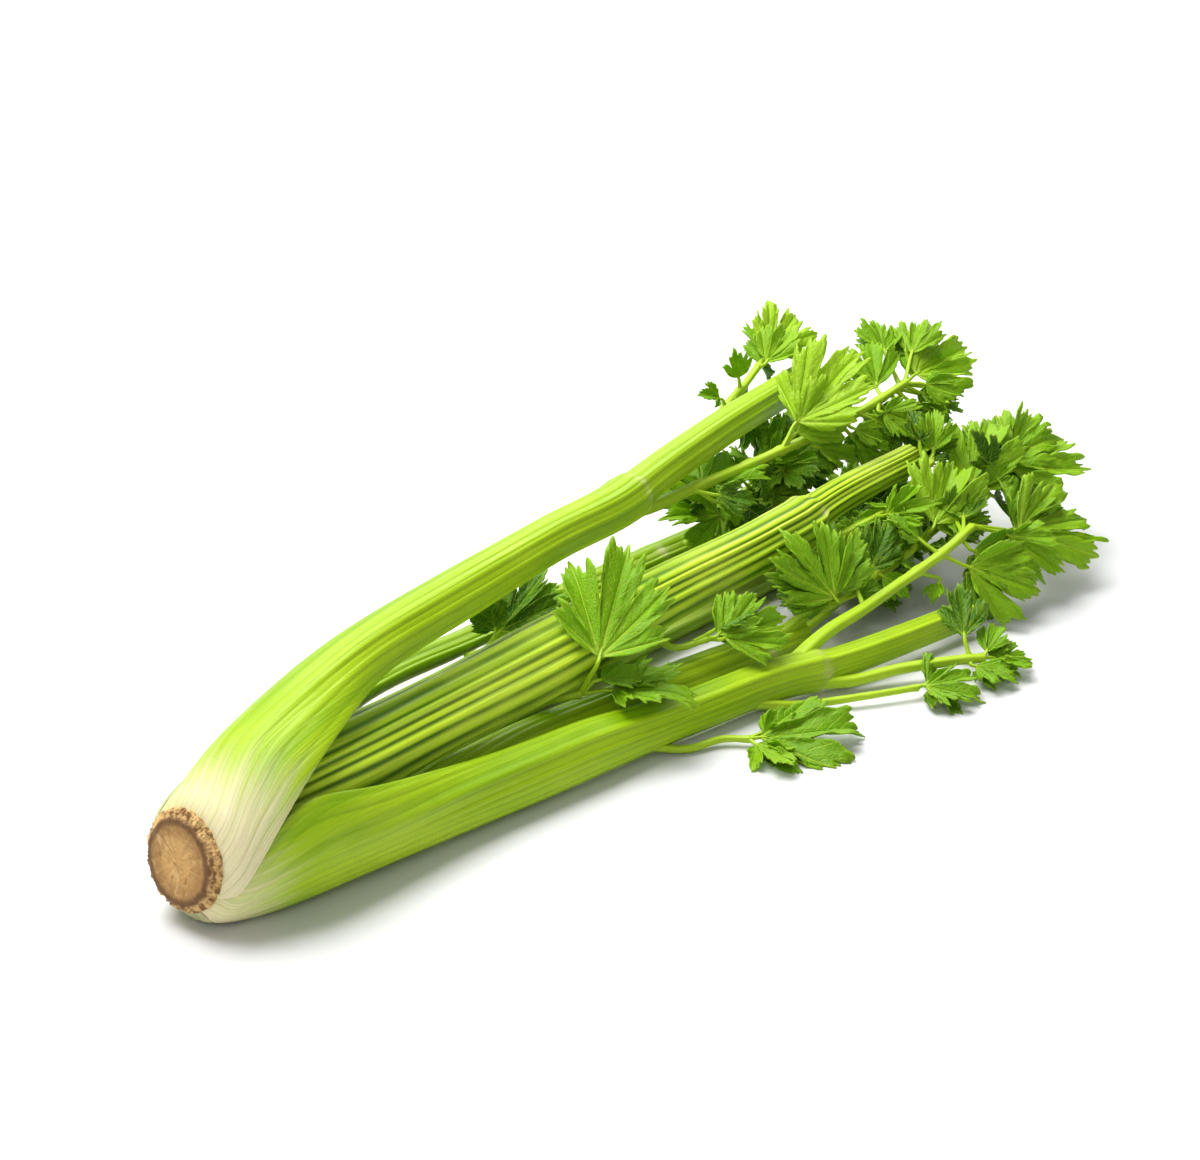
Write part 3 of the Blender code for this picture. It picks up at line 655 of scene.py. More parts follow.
    # how far round and how far along, in metres, for the strings
    girth = angle * radius[:, None]
    girth = np.concatenate([girth, girth[:, -2:0:-1] + 0.2], 1) * mm
    lengthwise = np.repeat(travelled * mm, around, 1)
    uvPoints = np.stack([girth.ravel(), lengthwise.ravel()], 1)
    loops = [i for face in faces for i in face]
    piece = makePiece(
        name + "_skin", rings.reshape(-1, 3), faces, (look["skin"], cutFlesh),
        {"pale": palePoints.ravel(), "rib": ribPoints.ravel(), "inner": innerPoints.ravel()},
        uvPoints[loops], 50.0, finish,
    )
    return fit(piece, name)


for stalkName, look in stalks.items():
    made = makeStalk(stalkName, look)
    print("stalk", stalkName, len(made.data.polygons))


# the crown, which is the cut root plate

rootLook = {
    "core": (0.68, 0.40, 0.13),
    "flesh": (0.40, 0.215, 0.06),
    "light": (0.78, 0.52, 0.21),
    "spot": (0.36, 0.15, 0.035),
    "ray": (0.34, 0.15, 0.035),
    "ring": (0.13, 0.05, 0.011),
    "cork": (0.72, 0.46, 0.17),
    "corkDark": (0.22, 0.10, 0.025),
    "neck": (0.30, 0.19, 0.06),
}
crownForm = {
    "sides": 160,
    # radius and depth behind the cut face
    "profile": (
        (3.0, 0.35), (6.0, 0.15), (9.0, 0.3), (11.2, 0.1), (12.7, 0.0), (13.8, 0.15),
        (14.6, 0.7), (15.2, 1.5), (16.0, 1.9), (16.7, 2.4), (17.0, 3.1), (16.8, 3.9),
        (15.2, 4.5), (12.8, 5.0), (10.0, 12.0), (8.3, 20.0), (5.0, 32.0), (2.5, 40.0),
    ),
    "pits": 0.22,  # mm
    "crumbOut": 0.026,  # share of the radius
    "crumbUp": 0.45,  # mm
}


def makeRootFinish(look):
    made, tree, shader = newMaterial("rootPlate")
    split = tree.nodes.new("ShaderNodeSeparateXYZ")
    plane = coordinates(tree, "UV")
    link(tree, plane, split.inputs[0])
    squares = [maths(tree, "MULTIPLY", split.outputs[axis], split.outputs[axis]) for axis in ("X", "Y")]
    out = maths(tree, "SQRT", maths(tree, "ADD", *squares))
    place = coordinates(tree, "Object")
    coarse = noise(tree, place, 170.0, 4.0, 0.62)
    fine = noise(tree, place, 1100.0, 3.0, 0.6)
    spots = noise(tree, place, 420.0, 3.0, 0.7)
    wobble = maths(tree, "ADD", out, swing(tree, coarse, 0.0035))
    # from the core outwards, in metres: flesh with spots and rays, a dark ring, and cork
    flesh = tint(tree, look["core"], look["flesh"], wobble, 0.0045, 0.0118)
    flesh = tint(tree, flesh, look["light"], coarse, 0.48, 0.7)
    flesh = tint(tree, flesh, look["spot"], spots, 0.56, 0.68, 0.75)
    ray = tree.nodes.new("ShaderNodeVectorMath")
    ray.operation = "NORMALIZE"
    link(tree, plane, ray.inputs[0])
    rays = noise(tree, ray.outputs[0], 11.0, 4.0, 0.65)
    flesh = tint(tree, flesh, look["ray"], rays, 0.5, 0.68, 0.6)
    cork = tint(tree, look["cork"], look["corkDark"], spots, 0.42, 0.62)
    colour = tint(tree, flesh, cork, wobble, 0.0130, 0.0146)
    outside = ramp(tree, wobble, 0.0137, 0.0152, 1.0, 0.0)
    dark = maths(tree, "MULTIPLY", ramp(tree, wobble, 0.0112, 0.0130), outside)
    colour = mixColour(tree, maths(tree, "MULTIPLY", dark, 0.85), colour, look["ring"])
    colour = mixColour(tree, attribute(tree, "neck"), colour, look["neck"])
    link(tree, colour, shader.inputs["Base Color"])
    link(tree, maths(tree, "MULTIPLY_ADD", fine, 0.25, 0.6), shader.inputs["Roughness"])
    relief = bump(tree, coarse, 0.9, 0.0022)
    relief = bump(tree, spots, 0.8, 0.0012, relief)
    link(tree, bump(tree, fine, 0.5, 0.0003, relief), shader.inputs["Normal"])
    return made


def makeCrown():
    # a disc that is extruded ring by ring, then roughened
    bpy.ops.object.select_all(action="DESELECT")
    r, depth = crownForm["profile"][0]
    bpy.ops.mesh.primitive_circle_add(
        vertices=crownForm["sides"], radius=r * mm, fill_type="TRIFAN", location=(0, 0, -depth * mm)
    )
    piece = bpy.context.object
    piece.name = "root_plate"
    bpy.ops.object.transform_apply(location=True, rotation=True, scale=True)
    bpy.ops.object.mode_set(mode="EDIT")
    bpy.ops.mesh.select_mode(type="EDGE")
    bpy.ops.mesh.select_all(action="SELECT")
    bpy.ops.mesh.region_to_loop()
    for nextR, nextDepth in crownForm["profile"][1:]:
        bpy.ops.mesh.extrude_region_move(TRANSFORM_OT_translate={"value": (0, 0, -(nextDepth - depth) * mm)})
        bpy.ops.transform.resize(value=(nextR / r, nextR / r, 1), center_override=(0, 0, -nextDepth * mm))
        r, depth = nextR, nextDepth
    bpy.ops.mesh.edge_face_add()
    bpy.ops.mesh.select_mode(type="FACE")
    bpy.ops.mesh.select_all(action="SELECT")
    bpy.ops.mesh.subdivide(number_cuts=1)
    bpy.ops.mesh.normals_make_consistent(inside=False)
    bpy.ops.object.mode_set(mode="OBJECT")

    mesh = piece.data
    co = np.zeros(len(mesh.vertices) * 3)
    mesh.vertices.foreach_get("co", co)
    co = co.reshape(-1, 3) / mm
    out = np.hypot(co[:, 0], co[:, 1])
    turn = np.arctan2(co[:, 1], co[:, 0])
    # an uneven outline, crumbly cork and shallow pits in the cut
    outline = 1 + 0.012 * np.sin(2 * turn + 0.6) + 0.010 * np.sin(3 * turn + 2.1) + 0.006 * np.sin(5 * turn)
    crumb = 0.35 * np.sin(17 * turn + 1.3 * np.sin(5 * turn))
    crumb += 0.25 * np.sin(31 * turn + 2.0 * np.sin(7 * turn))
    crumb += 0.3 * np.sin(53 * turn + 2.4 * np.sin(11 * turn) + out)
    crumb += 0.2 * np.sin(79 * turn - 1.7 * out)
    crumb *= softStep(out, 13.5, 16.0) * (1 - softStep(-co[:, 2], 4.2, 5.5))
    pits = np.sin(co[:, 0] * 1.1 + np.sin(co[:, 1] * 0.9)) * np.sin(co[:, 1] * 1.3 + np.sin(co[:, 0] * 0.7))
    pits *= crownForm["pits"] * (1 - softStep(out, 11, 14))
    grow = 1 + (outline - 1) * (1 - softStep(-co[:, 2], 5, 12)) + crownForm["crumbOut"] * crumb
    co[:, :2] *= grow[:, None]
    co[:, 2] += (pits + crownForm["crumbUp"] * crumb) * (1 - softStep(-co[:, 2], 4, 6))
    across = Vector((0, 0, 1)).cross(faceNormal).normalized()
    basis = np.array([across, faceNormal.cross(across), faceNormal])
    mesh.vertices.foreach_set("co", ((co @ basis + np.array(buttCentre)) * mm).ravel())
    mesh.materials.append(makeRootFinish(rootLook))
    neck = mesh.attributes.new("neck", "FLOAT", "POINT")
    neck.data.foreach_set("value", softStep(-co[:, 2], 4.4, 6.0).astype(np.float32))
    loops = np.zeros(len(mesh.loops), np.int32)
    mesh.loops.foreach_get("vertex_index", loops)
    while mesh.uv_layers:
        mesh.uv_layers.remove(mesh.uv_layers[0])
    layer = mesh.uv_layers.new(name="surface")
    layer.data.foreach_set("uv", (co[loops][:, :2] * mm).astype(np.float32).ravel())
    mesh.update()
    mesh.shade_smooth()
    fit(piece, "crown")


makeCrown()
print("root plate made")


# leaflets

# lobes: angle off the midrib, reach; then half of a lobe's angle, and its teeth
fiveLobes = ((-62, 0.62), (-31, 0.88), (0, 1.0), (31, 0.88), (62, 0.62))
leafForms = {
    "broad": (fiveLobes, 15.5, 7),  # a fan with a larger leaflet behind it
    "fan": (fiveLobes, 15.5, 7),
    "three": (((-43, 0.78), (0, 1.0), (43, 0.78)), 22, 9),
    "small": (((-43, 0.74), (0, 1.0), (43, 0.74)), 21.5, 9),
}
leafFaces = {"front": Vector((-0.45, -0.5, 0.74)), "up": Vector((-0.1, -0.1, 0.99))}
# shares of the reach or of the length, unless a note says otherwise
blade = {
    "sinus": 0.50,  # slits between the lobes
    "sinusWidth": 2.5,  # degrees
    "lobelet": 0.12,
    "tooth": 0.10,
    "width": 0.92,
    "base": 0.40,
    "cup": 0.12,
    "crease": 0.020,
    "valley": 0.30,
    "quilt": 0.020,
    "quiltStep": 0.21,
    "wave": 0.045,
    "curl": (-0.50, 0.16),
    "tone": 0.16,
    "thick": 0.45,  # mm
    "neck": 1.6,  # mm of free stalk before the midrib
    "perLobe": 45,
    "rings": (0.10, 0.26, 0.42, 0.58, 0.74, 0.88, 1.0),
}


def frameAbout(direction, towards):
    normal = (towards - direction * towards.dot(direction)).normalized()
    return normal.cross(direction), normal


def leafOutline(form):
    # fine outline of a leaflet: angle, reach, reach without the teeth, and the lobe's angle
    lobes, half, teeth = leafForms[form]
    lobeAngles = np.array([a for a, r in lobes], float)
    lobeReach = np.array([r for a, r in lobes], float)
    first, last = lobeAngles[0] - half, lobeAngles[-1] + half
    angle = np.linspace(first, last, blade["perLobe"] * len(lobes) + 1)
    side = blade["base"] * lobeReach[0]
    arch = np.interp(angle, [first, *lobeAngles, last], [side, *lobeReach, side])
    lobe = np.abs(angle[:, None] - lobeAngles).argmin(1)
    inLobe = (angle - lobeAngles[lobe]) / half
    plain = arch * (1 - 0.10 * np.abs(inLobe) ** 2.2)
    between = (lobeAngles[1:] + lobeAngles[:-1]) / 2
    slit = hill(angle[:, None], between, blade["sinusWidth"]).sum(1)
    coarse = 1 - np.abs(np.cos(np.pi * 1.5 * inLobe)) ** 0.7
    fine = 1 - np.abs(np.cos(np.pi * teeth * inLobe / 2)) ** 0.9
    reach = plain * (1 - blade["sinus"] * slit) * (1 - blade["lobelet"] * coarse)
    reach = reach * (1 - blade["tooth"] * fine)
    return angle, reach, plain, lobeAngles[lobe], lobe


outlines = {form: leafOutline(form) for form in leafForms}


def leafSheet(base, tip, face, form, roll, droop, tone, seed, crumple=1.0, turned=0.0):
    # one leaflet as a sheet: points, faces, and per-corner coordinates along and across each lobe
    angle, reach, plain, lobeAngle, lobe = outlines[form]
    length = (tip - base).length
    along = (tip - base).normalized()
    side, normal = frameAbout(along, face)
    rolled = Quaternion(along, math.radians(roll))
    side, normal = rolled @ side, rolled @ normal
    if turned:
        about = Quaternion(normal, math.radians(turned))
        along, side = about @ along, about @ side
    draw = np.random.default_rng(seed)
    s = np.array(blade["rings"])[:, None]
    toothy = s**3
    # lobes and teeth of uneven reach
    turn = np.radians(angle)
    own = (1 + draw.uniform(-0.16, 0.06, 8))[lobe]
    own = own * (1 + 0.035 * np.sin(turn * draw.uniform(14, 22) + draw.uniform(0, fullTurn)))
    cut = (1 - reach / plain) * (1 + 0.45 * np.sin(turn * draw.uniform(9, 13) + draw.uniform(0, fullTurn)))
    edge = plain * (1 - cut)
    r = s * ((1 - toothy) * np.minimum(plain, edge * 1.15) + toothy * edge) * own
    u, v = r * np.cos(turn), r * np.sin(turn)
    lobeTurn = np.radians(lobeAngle)
    p = u * np.cos(lobeTurn) + v * np.sin(lobeTurn)
    q = -u * np.sin(lobeTurn) + v * np.cos(lobeTurn)
    v = v * blade["width"]
    lift = 0.06 * r * np.sin(np.radians(4.5 * angle) + length) + blade["cup"] * np.abs(v) - droop * u * u
    # creases along the lobes' veins, quilting between the side veins, and a wavy edge
    crease = hill(q, 0, 0.022) * np.sin(np.pi * np.clip(p / 0.95, 0, 1))
    lift = lift - blade["crease"] * crease * crumple
    lift = lift + blade["valley"] * np.abs(q) * softStep(s, 0.25, 0.9) * crumple
    quilt = np.cos(2 * np.pi * (p - 1.25 * np.abs(q)) / blade["quiltStep"] + draw.uniform(0, fullTurn))
    lift = lift + blade["quilt"] * quilt * softStep(np.abs(q), 0.01, 0.10) * crumple
    wave = sum(draw.uniform(0.3, 1) * np.sin(turn * k + draw.uniform(0, fullTurn)) for k in (3, 5, 8, 13))
    lift = lift + blade["wave"] * s**2.5 * wave * crumple
    curl = draw.uniform(*blade["curl"], 8)[lobe]
    lift = lift + curl * np.clip(p - 0.55, 0, 1) ** 2 * 2.2 * crumple
    along, side, normal, root = (np.array(w) for w in (along, side, normal, base))
    points = root + (u[..., None] * along + v[..., None] * side + lift[..., None] * normal) * length
    rows, columns = u.shape
    flat = np.vstack([root[None, :], points.reshape(-1, 3)])
    faces, corners = [], []
    index = 1 + np.arange(rows * columns).reshape(rows, columns)
    for j in range(columns - 1):
        # both sides of a quad keep the rule of the lobe that it starts in
        cosT, sinT = math.cos(lobeTurn[j]), math.sin(lobeTurn[j])

        def local(i, k):
            x, y = u[i, k], v[i, k] / blade["width"]
            return x * cosT + y * sinT, -x * sinT + y * cosT

        faces.append((0, int(index[0, j]), int(index[0, j + 1])))
        corners += [(0.0, 0.0), local(0, j), local(0, j + 1)]
        for i in range(rows - 1):
            quad = ((i, j), (i + 1, j), (i + 1, j + 1), (i, j + 1))
            faces.append(tuple(int(index[at]) for at in quad))
            corners += [local(*at) for at in quad]
    margin = np.concatenate([[0.0], np.repeat(np.array(blade["rings"]), columns)])
    tone = tone + draw.uniform(-blade["tone"], blade["tone"])
    return flat, faces, corners, np.full(len(flat), tone), margin


# branches and the short stalks of leaflets

def tubeMesh(path, sides, ribs, ribShare, groove, seed):
    # a closed stem along points with radii: points, faces, corners, and the ends drawn together
    path = np.asarray(path, float)
    centres, radii = path[:, :3], path[:, 3]
    along = pathTangents(centres)
    travel = travelAlong(centres)
    up = np.array([0.1, 0.2, 0.97])
    normal = unit(up - along * (along @ up)[:, None])
    side = np.cross(normal, along)
    a = np.linspace(0, 2 * np.pi, sides, endpoint=False)[None, :]
    shape = 1 + ribShare * np.cos(ribs * a) - groove * hill(a, np.pi / 2, 0.5)
    r = radii[:, None] * shape * (1 + 0.035 * waves(seed, 4, 0.15, 0.7)(travel[:, None] + 3 * a))
    across = (r * np.cos(a))[..., None] * side[:, None, :]
    points = centres[:, None, :] + across + (r * np.sin(a))[..., None] * normal[:, None, :]
    rows = len(path)
    start = centres[:1] - along[:1] * radii[0] * 0.4
    end = centres[-1:] + along[-1:] * radii[-1] * 0.4
    flat = np.vstack([points.reshape(-1, 3), start, end])
    index = np.arange(rows * sides).reshape(rows, sides)
    faces, corners = [], []
    for i in range(rows - 1):
        y0, y1 = travel[i] * mm, travel[i + 1] * mm
        for j in range(sides):
            k = (j + 1) % sides
            faces.append((int(index[i, j]), int(index[i, k]), int(index[i + 1, k]), int(index[i + 1, j])))
            x0, x1 = (n / sides * radii[i] * fullTurn * mm for n in (j, j + 1))
            corners += [(x0, y0), (x1, y0), (x1, y1), (x0, y1)]
    first, last = rows * sides, rows * sides + 1
    for j in range(sides):
        k = (j + 1) % sides
        faces.append((first, int(index[0, k]), int(index[0, j])))
        faces.append((last, int(index[-1, j]), int(index[-1, k])))
        corners += [(0, 0)] * 3 + [(0, travel[-1] * mm)] * 3
    return flat, faces, corners


def gather(parts):
    # several meshes into one: points, faces, corners and any per-point numbers
    points, faces, corners, numbers, count = [], [], [], [], 0
    for flat, some, uv, *rest in parts:
        points.append(flat)
        faces += [tuple(i + count for i in face) for face in some]
        corners += uv
        numbers.append(rest)
        count += len(flat)
    return np.vstack(points), faces, corners, [np.concatenate(n) for n in zip(*numbers)]


def pointOn(path, share):
    centres = [Vector(p[:3]) for p in path]
    lengths = [(b - a).length for a, b in zip(centres, centres[1:])]
    left = share * sum(lengths)
    for a, b, long in zip(centres, centres[1:], lengths):
        if left <= long:
            return a.lerp(b, left / long)
        left -= long
    return centres[-1]


def petiole(root, base, heading, size, tone, seed):
    # the short stalk of one leaflet, which runs on into its midrib
    neck = base - heading * blade["neck"]
    rows = [
        (*root, 1.15), (*root.lerp(neck, 0.5), 0.8), (*neck, 0.72), (*base, 0.62),
        (*(base + heading * size * 0.08), 0.4),
    ]
    flat, faces, corners = tubeMesh(smoothRows(rows, 0.9), 10, 5, 0.06, 0.15, seed)
    # the stalk takes on its leaflet's tone, with its painted light and shade
    return flat, faces, corners, np.full(len(flat), 0.5 + 0.4 * tone)


# leafy sprays

# leaves: share of the stem, base, tip, form, roll, droop, tone; the tone is painted light and shade, high on
# the lit upper leaves and low on the shaded low, back and under ones
# they face the front unless a spray says otherwise, and "more" is how many more are tried inside the cluster
sprays = {
    "spray_upper": {
        "root": (10, 25.5, 58.0, 3.4),
        "more": 17,
        "stem": (
            (25, 28, 54.5, 2.6), (56, 31, 53, 2.2), (95, 34, 52, 1.9),
            (154, 34, 57, 1.6), (173, 35, 60, 1.4),
        ),
        "leaves": (
            (1.0, (179, 36, 61), (215, 38, 66), "broad", 0, 0.1, 0.75),
            (0.97, (175, 49, 68), (184, 64, 77), "three", 20, 0.1, 0.45),
            (0.99, (183, 42, 67), (200, 51, 77), "three", -15, 0.1, 0.55),
            (0.99, (176, 28, 60), (184, 16, 57), "three", 10, 0.2, 0.6),
            (0.99, (181, 30, 55), (177, 15, 46), "small", 40, 0.0, 0.6),
            (0.9, (161, 40, 60), (171, 54, 76), "three", 0, 0.1, 0.5),
            (0.88, (152, 28, 55), (165, 15, 51), "fan", 10, 0.1, 0.55),
            (0.75, (136, 28, 53), (147, 18, 47), "three", -10, 0.1, 0.6),
            (0.62, (118, 30, 50), (134, 22, 44), "small", 0, 0.1, 0.5),
            (0.52, (111, 35, 61), (147, 34, 84), "broad", -10, -0.05, 0.98),
            (0.52, (110, 34, 57), (138, 31, 68), "three", 35, 0.1, 0.8),
            (0.2, (62, 36, 50), (97, 42, 52), "three", -20, 0.1, 0.5),
            (0.4, (84, 43, 45), (104, 54, 40), "small", -20, 0.1, 0.35),
        ),
    },
    "spray_top": {
        "root": (97, 60, 58, 2.2),
        "more": 4,
        "stem": ((104, 68, 57, 1.6), (120, 72, 62, 1.5), (133, 75, 68, 1.3)),
        "leaves": (
            (1.0, (138, 76, 70), (164, 84, 80), "fan", 10, 0.1, 0.85),
            (0.9, (131, 71, 69), (151, 74, 80), "three", -10, 0.1, 0.7),
            (0.45, (117, 72, 66), (114, 72, 79), "three", 0, 0.1, 0.6),
            (0.1, (104, 69, 62), (93, 68, 68), "small", 0, 0.1, 0.5),
        ),
    },
    "spray_fan": {
        "root": (-81, -4.5, 22, 1.7),
        "more": 0,
        "stem": ((-73, -4, 19.2, 1.5), (-60, -7, 19.4, 1.5), (-46, -14.5, 21, 1.4)),
        "leaves": (
            (1.0, (-45, -23, 38), (-13.5, -4.6, 64), "broad", 5, -0.05, 0.55),
            (1.0, (-42, -20, 27), (-26, -29, 28), "three", -30, 0.1, 0.5),
            (1.0, (-38, -22, 22.5), (-22, -46, 27), "fan", -38, 0.05, 0.6),
        ),
    },
    "spray_front": {
        "root": (33, -37.5, 11.5, 3.2),
        "more": 8,
        "stem": (
            (53, -36, 17.5, 2.6), (75, -35, 20, 2.3), (95, -34, 23, 2.0),
            (115, -35, 28, 1.8), (137, -32, 32, 1.5),
        ),
        "leaves": (
            (1.0, (156, -39, 27), (196, -44, 22), "broad", 0, 0.1, 0.55),
            (1.0, (149, -40, 27), (161, -58, 15), "fan", 15, 0.1, 0.5),
            (0.9, (131, -38, 26), (157, -51, 9), "three", 0, 0.1, 0.45),
            (0.75, (124, -42, 23), (148, -62, 11), "three", 10, 0.1, 0.5),
            (0.6, (112, -38, 19), (104, -41, 14), "small", 30, 0.1, 0.5),
        ),
    },
    "spray_inner": {
        "root": (48, -17.5, 11, 2.8),
        "more": 15,
        "stem": (
            (58, -20, 16.5, 2.2), (84, -20, 18, 2.1), (114, -18, 22, 1.9),
            (130, -16, 25, 1.7), (153, -15, 30, 1.5), (169, -13, 34, 1.3),
        ),
        "leaves": (
            (0.62, (128, -21, 32), (155, -8, 51), "three", 8, 0.0, 0.6),
            (0.85, (159, -12, 35), (184, 0, 56), "three", 0, 0.1, 0.55),
            (1.0, (175, -8, 38), (212, 4, 48), "broad", -10, 0.1, 0.5),
            (1.0, (178, -14, 38), (219, -12, 41), "broad", 5, 0.1, 0.6),
            (0.95, (173, -14, 34), (204, -13, 36), "three", 10, 0.1, 0.5),
            (0.1, (69, -26, 23), (59, -5, 51), "fan", 10, -0.1, 0.55),
            (0.12, (72, -24, 23), (87, -19, 42), "three", 0, 0.1, 0.5),
            (0.4, (98, -23, 21), (104, -32, 13), "small", 0, 0.1, 0.4),
            (0.8, (153, -9, 24), (176, 2, 20), "small", 0, 0.1, 0.3),
        ),
    },
    "spray_middle": {
        "root": (88, 3.5, 35, 2.6),
        "more": 12,
        "stem": ((96, 0, 30, 1.9), (106, -4, 33, 1.7), (126, -5, 38, 1.5), (148, -1, 45, 1.3)),
        "leaves": (
            (1.0, (151, 1, 48), (157, 6, 64), "three", 0, 0.1, 0.6),
            (1.0, (158, 14, 41), (184, 30, 42), "three", -10, 0.1, 0.4),
            (0.6, (122, -8, 35), (98, -13, 28), "fan", 0, 0.1, 0.4),
        ),
    },
    "spray_low_outer": {
        "face": "up",
        "root": (36, -42, 6.5, 2.6),
        "more": 1,
        "stem": ((50, -50, 5, 2.2), (70, -58, 6, 2.1), (89, -69, 7, 1.9), (97, -74, 7, 1.6)),
        "leaves": (
            (1.0, (99, -76, 7), (115, -85, 5), "three", 0, 0.05, 0.55),
            (1.0, (98, -74, 9), (110, -70, 16), "three", 0, 0.1, 0.6),
            (0.9, (91, -75, 6), (97, -90, 4), "three", 0, 0.05, 0.5),
        ),
    },
    "spray_low_inner": {
        "face": "up",
        "root": (14, -40, 5, 2.0),
        "more": 1,
        "stem": ((29, -49, 3, 1.5), (46, -60, 4, 1.4), (66, -70, 4.5, 1.2)),
        "leaves": (
            (1.0, (68, -72, 5), (82, -92, 4), "fan", 0, 0.02, 0.5),
        ),
    },
    "spray_floor": {
        "face": "up",
        "root": (-35, -36, 5, 1.7),
        "more": 1,
        "stem": ((-22, -43.5, 2.2, 1.4), (-9, -48, 3, 1.3), (-3, -54, 3, 1.2)),
        "leaves": (
            (1.0, (-1, -57, 4), (32, -79, 4), "three", 0, 0.0, 0.5),
            (1.0, (-4, -58, 3), (-8, -79, 3), "three", 0, 0.02, 0.55),
        ),
    },
    "spray_small": {
        "root": (-6, -5, 29, 1.6),
        "more": 1,
        "stem": ((1, -12, 21.5, 1.3), (11, -19, 24, 1.1)),
        "leaves": (
            (1.0, (13, -22, 26), (36, -20, 34), "three", 0, 0.1, 0.5),
            (1.0, (14, -24, 25), (44, -31, 29), "fan", 0, 0.1, 0.6),
        ),
    },
    "spray_dark": {
        "root": (-48, 43.5, 14, 1.6),
        "more": 3,
        "stem": ((-44, 37.5, 18, 1.2), (-41, 35, 23, 1.1)),
        "leaves": (
            (1.0, (-40, 34, 25), (-18, 33, 43), "fan", 0, 0.1, 0.1),
            (1.0, (-41, 35, 25), (-44, 39, 41), "three", 0, 0.1, 0.05),
        ),
    },
    "spray_back": {
        "root": (76, 59, 12, 2.6),
        "more": 20,
        "stem": ((85, 54, 21, 2.0), (109, 60, 23, 1.8), (134, 66, 24, 1.5)),
        "leaves": (
            (0.2, (78, 42, 30), (42, 40, 43), "fan", 0, 0.1, 0.3),
            (0.4, (94, 46, 28), (72, 27, 24), "three", 0, 0.1, 0.15),
            (0.6, (105, 56, 31), (98, 64, 44), "fan", 0, 0.1, 0.3),
            (0.9, (126, 56, 29), (114, 36, 34), "fan", 0, 0.1, 0.2),
            (1.0, (136, 62, 28), (150, 42, 36), "fan", 0, 0.1, 0.2),
            (1.0, (138, 68, 26), (170, 74, 32), "fan", 0, 0.1, 0.35),
            (1.0, (134, 73, 22), (144, 93, 16), "three", 0, 0.1, 0.3),
            (0.5, (106, 68, 24), (100, 88, 18), "three", 0, 0.1, 0.2),
            (0.1, (82, 57, 32), (74, 66, 50), "small", 0, 0.1, 0.35),
            (0.75, (124, 64, 34), (134, 62, 49), "small", 0, 0.1, 0.3),
        ),
    },
    "spray_under": {
        "root": (105, 29, 9, 2.4),
        "more": 20,
        "stem": ((113, 26, 13, 1.8), (126, 20, 17, 1.5), (140, 12, 20, 1.3)),
        "leaves": (
            (1.0, (142, 10, 21), (168, 2, 26), "fan", 0, 0.1, 0.2),
            (1.0, (140, 16, 21), (164, 30, 26), "fan", 0, 0.1, 0.15),
            (0.6, (128, 14, 20), (110, 4, 24), "three", 0, 0.1, 0.15),
            (0.3, (118, 16, 14), (100, -2, 14), "three", 0, 0.1, 0.15),
            (0.8, (134, 8, 15), (124, -12, 8), "three", 0, 0.1, 0.2),
            (0.5, (133, 27, 15), (150, 40, 17), "small", 0, 0.1, 0.2),
            (0.9, (147, 17, 13), (170, 22, 12), "small", 0, 0.1, 0.25),
        ),
    },
    "spray_low": {
        "root": (55, -17.5, 8, 2.0),
        "more": 10,
        "stem": ((63, -17, 9, 1.5), (80, -13, 9, 1.3), (94, -10, 10, 1.2)),
        "leaves": (
            (1.0, (97, -10, 11), (122, -18, 10), "three", 0, 0.1, 0.2),
            (0.5, (78, -8, 11), (80, 12, 14), "three", 0, 0.1, 0.15),
        ),
    },
}
sprayForm = {
    "sides": 22,
    "joint": 0.22,  # how much the stem swells where a leaflet leaves it
    "secondFrom": 14,  # mm, the smallest leaflet with a second one behind it
    "secondBack": 2.2,  # mm
    "lowest": 0.4,  # mm above the surface
}
# the further leaflets inside the cluster, in mm
filling = {
    "centre": Vector((130, 22, 34)),
    "pull": 0.012,
    "spread": 0.75,
    "free": (5, 12),  # from the stem to the leaflet
    "size": (13, 23),
    "tries": 400,
    "side": 8,  # from the sides of the solids' box, and less at the back
    "back": 4,
    "tips": (4, 78),
    "baseFrom": 3,
    # the further leaflets are drawn darker, as painted shade inside the cluster
    "tone": (0.0, 0.55),
}

# where the stalks and the two largest stems run, with their radii
stalkLines = {}
for name, look in stalks.items():
    line = smoothRows(look["rows"], 4)
    if name == "stalk_front":
        line = line[line[:, 0] < 88]
    stalkLines[name] = (line[:, :3], line[:, 3])
for name in ("spray_upper", "spray_front"):
    line = smoothRows(sprays[name]["stem"], 4)
    stalkLines[name] = (line[:, :3], line[:, 3] + 1.2)
inSight = ("stalk_upper", "stalk_middle", "stalk_front", "spray_upper", "spray_front")
frontWay = np.array((-0.613, -0.657, 0.438))  # the way that the head's front looks


def clearOfStalks(points, margin=0.4):
    # whether all points lie outside every stalk's round, and none hides a stalk that is seen from the front
    some = points[::7]
    for name, (line, radius) in stalkLines.items():
        apart = some[:, None, :] - line[None, :, :]
        if (np.linalg.norm(apart, axis=2) - radius[None, :]).min() < margin:
            return False
        if name in inSight:
            nearer = apart @ frontWay
            sideways = np.linalg.norm(apart - nearer[..., None] * frontWay, axis=2) - radius[None, :]
            if ((nearer > 0) & (sideways < -0.5)).any():
                return False
    return True


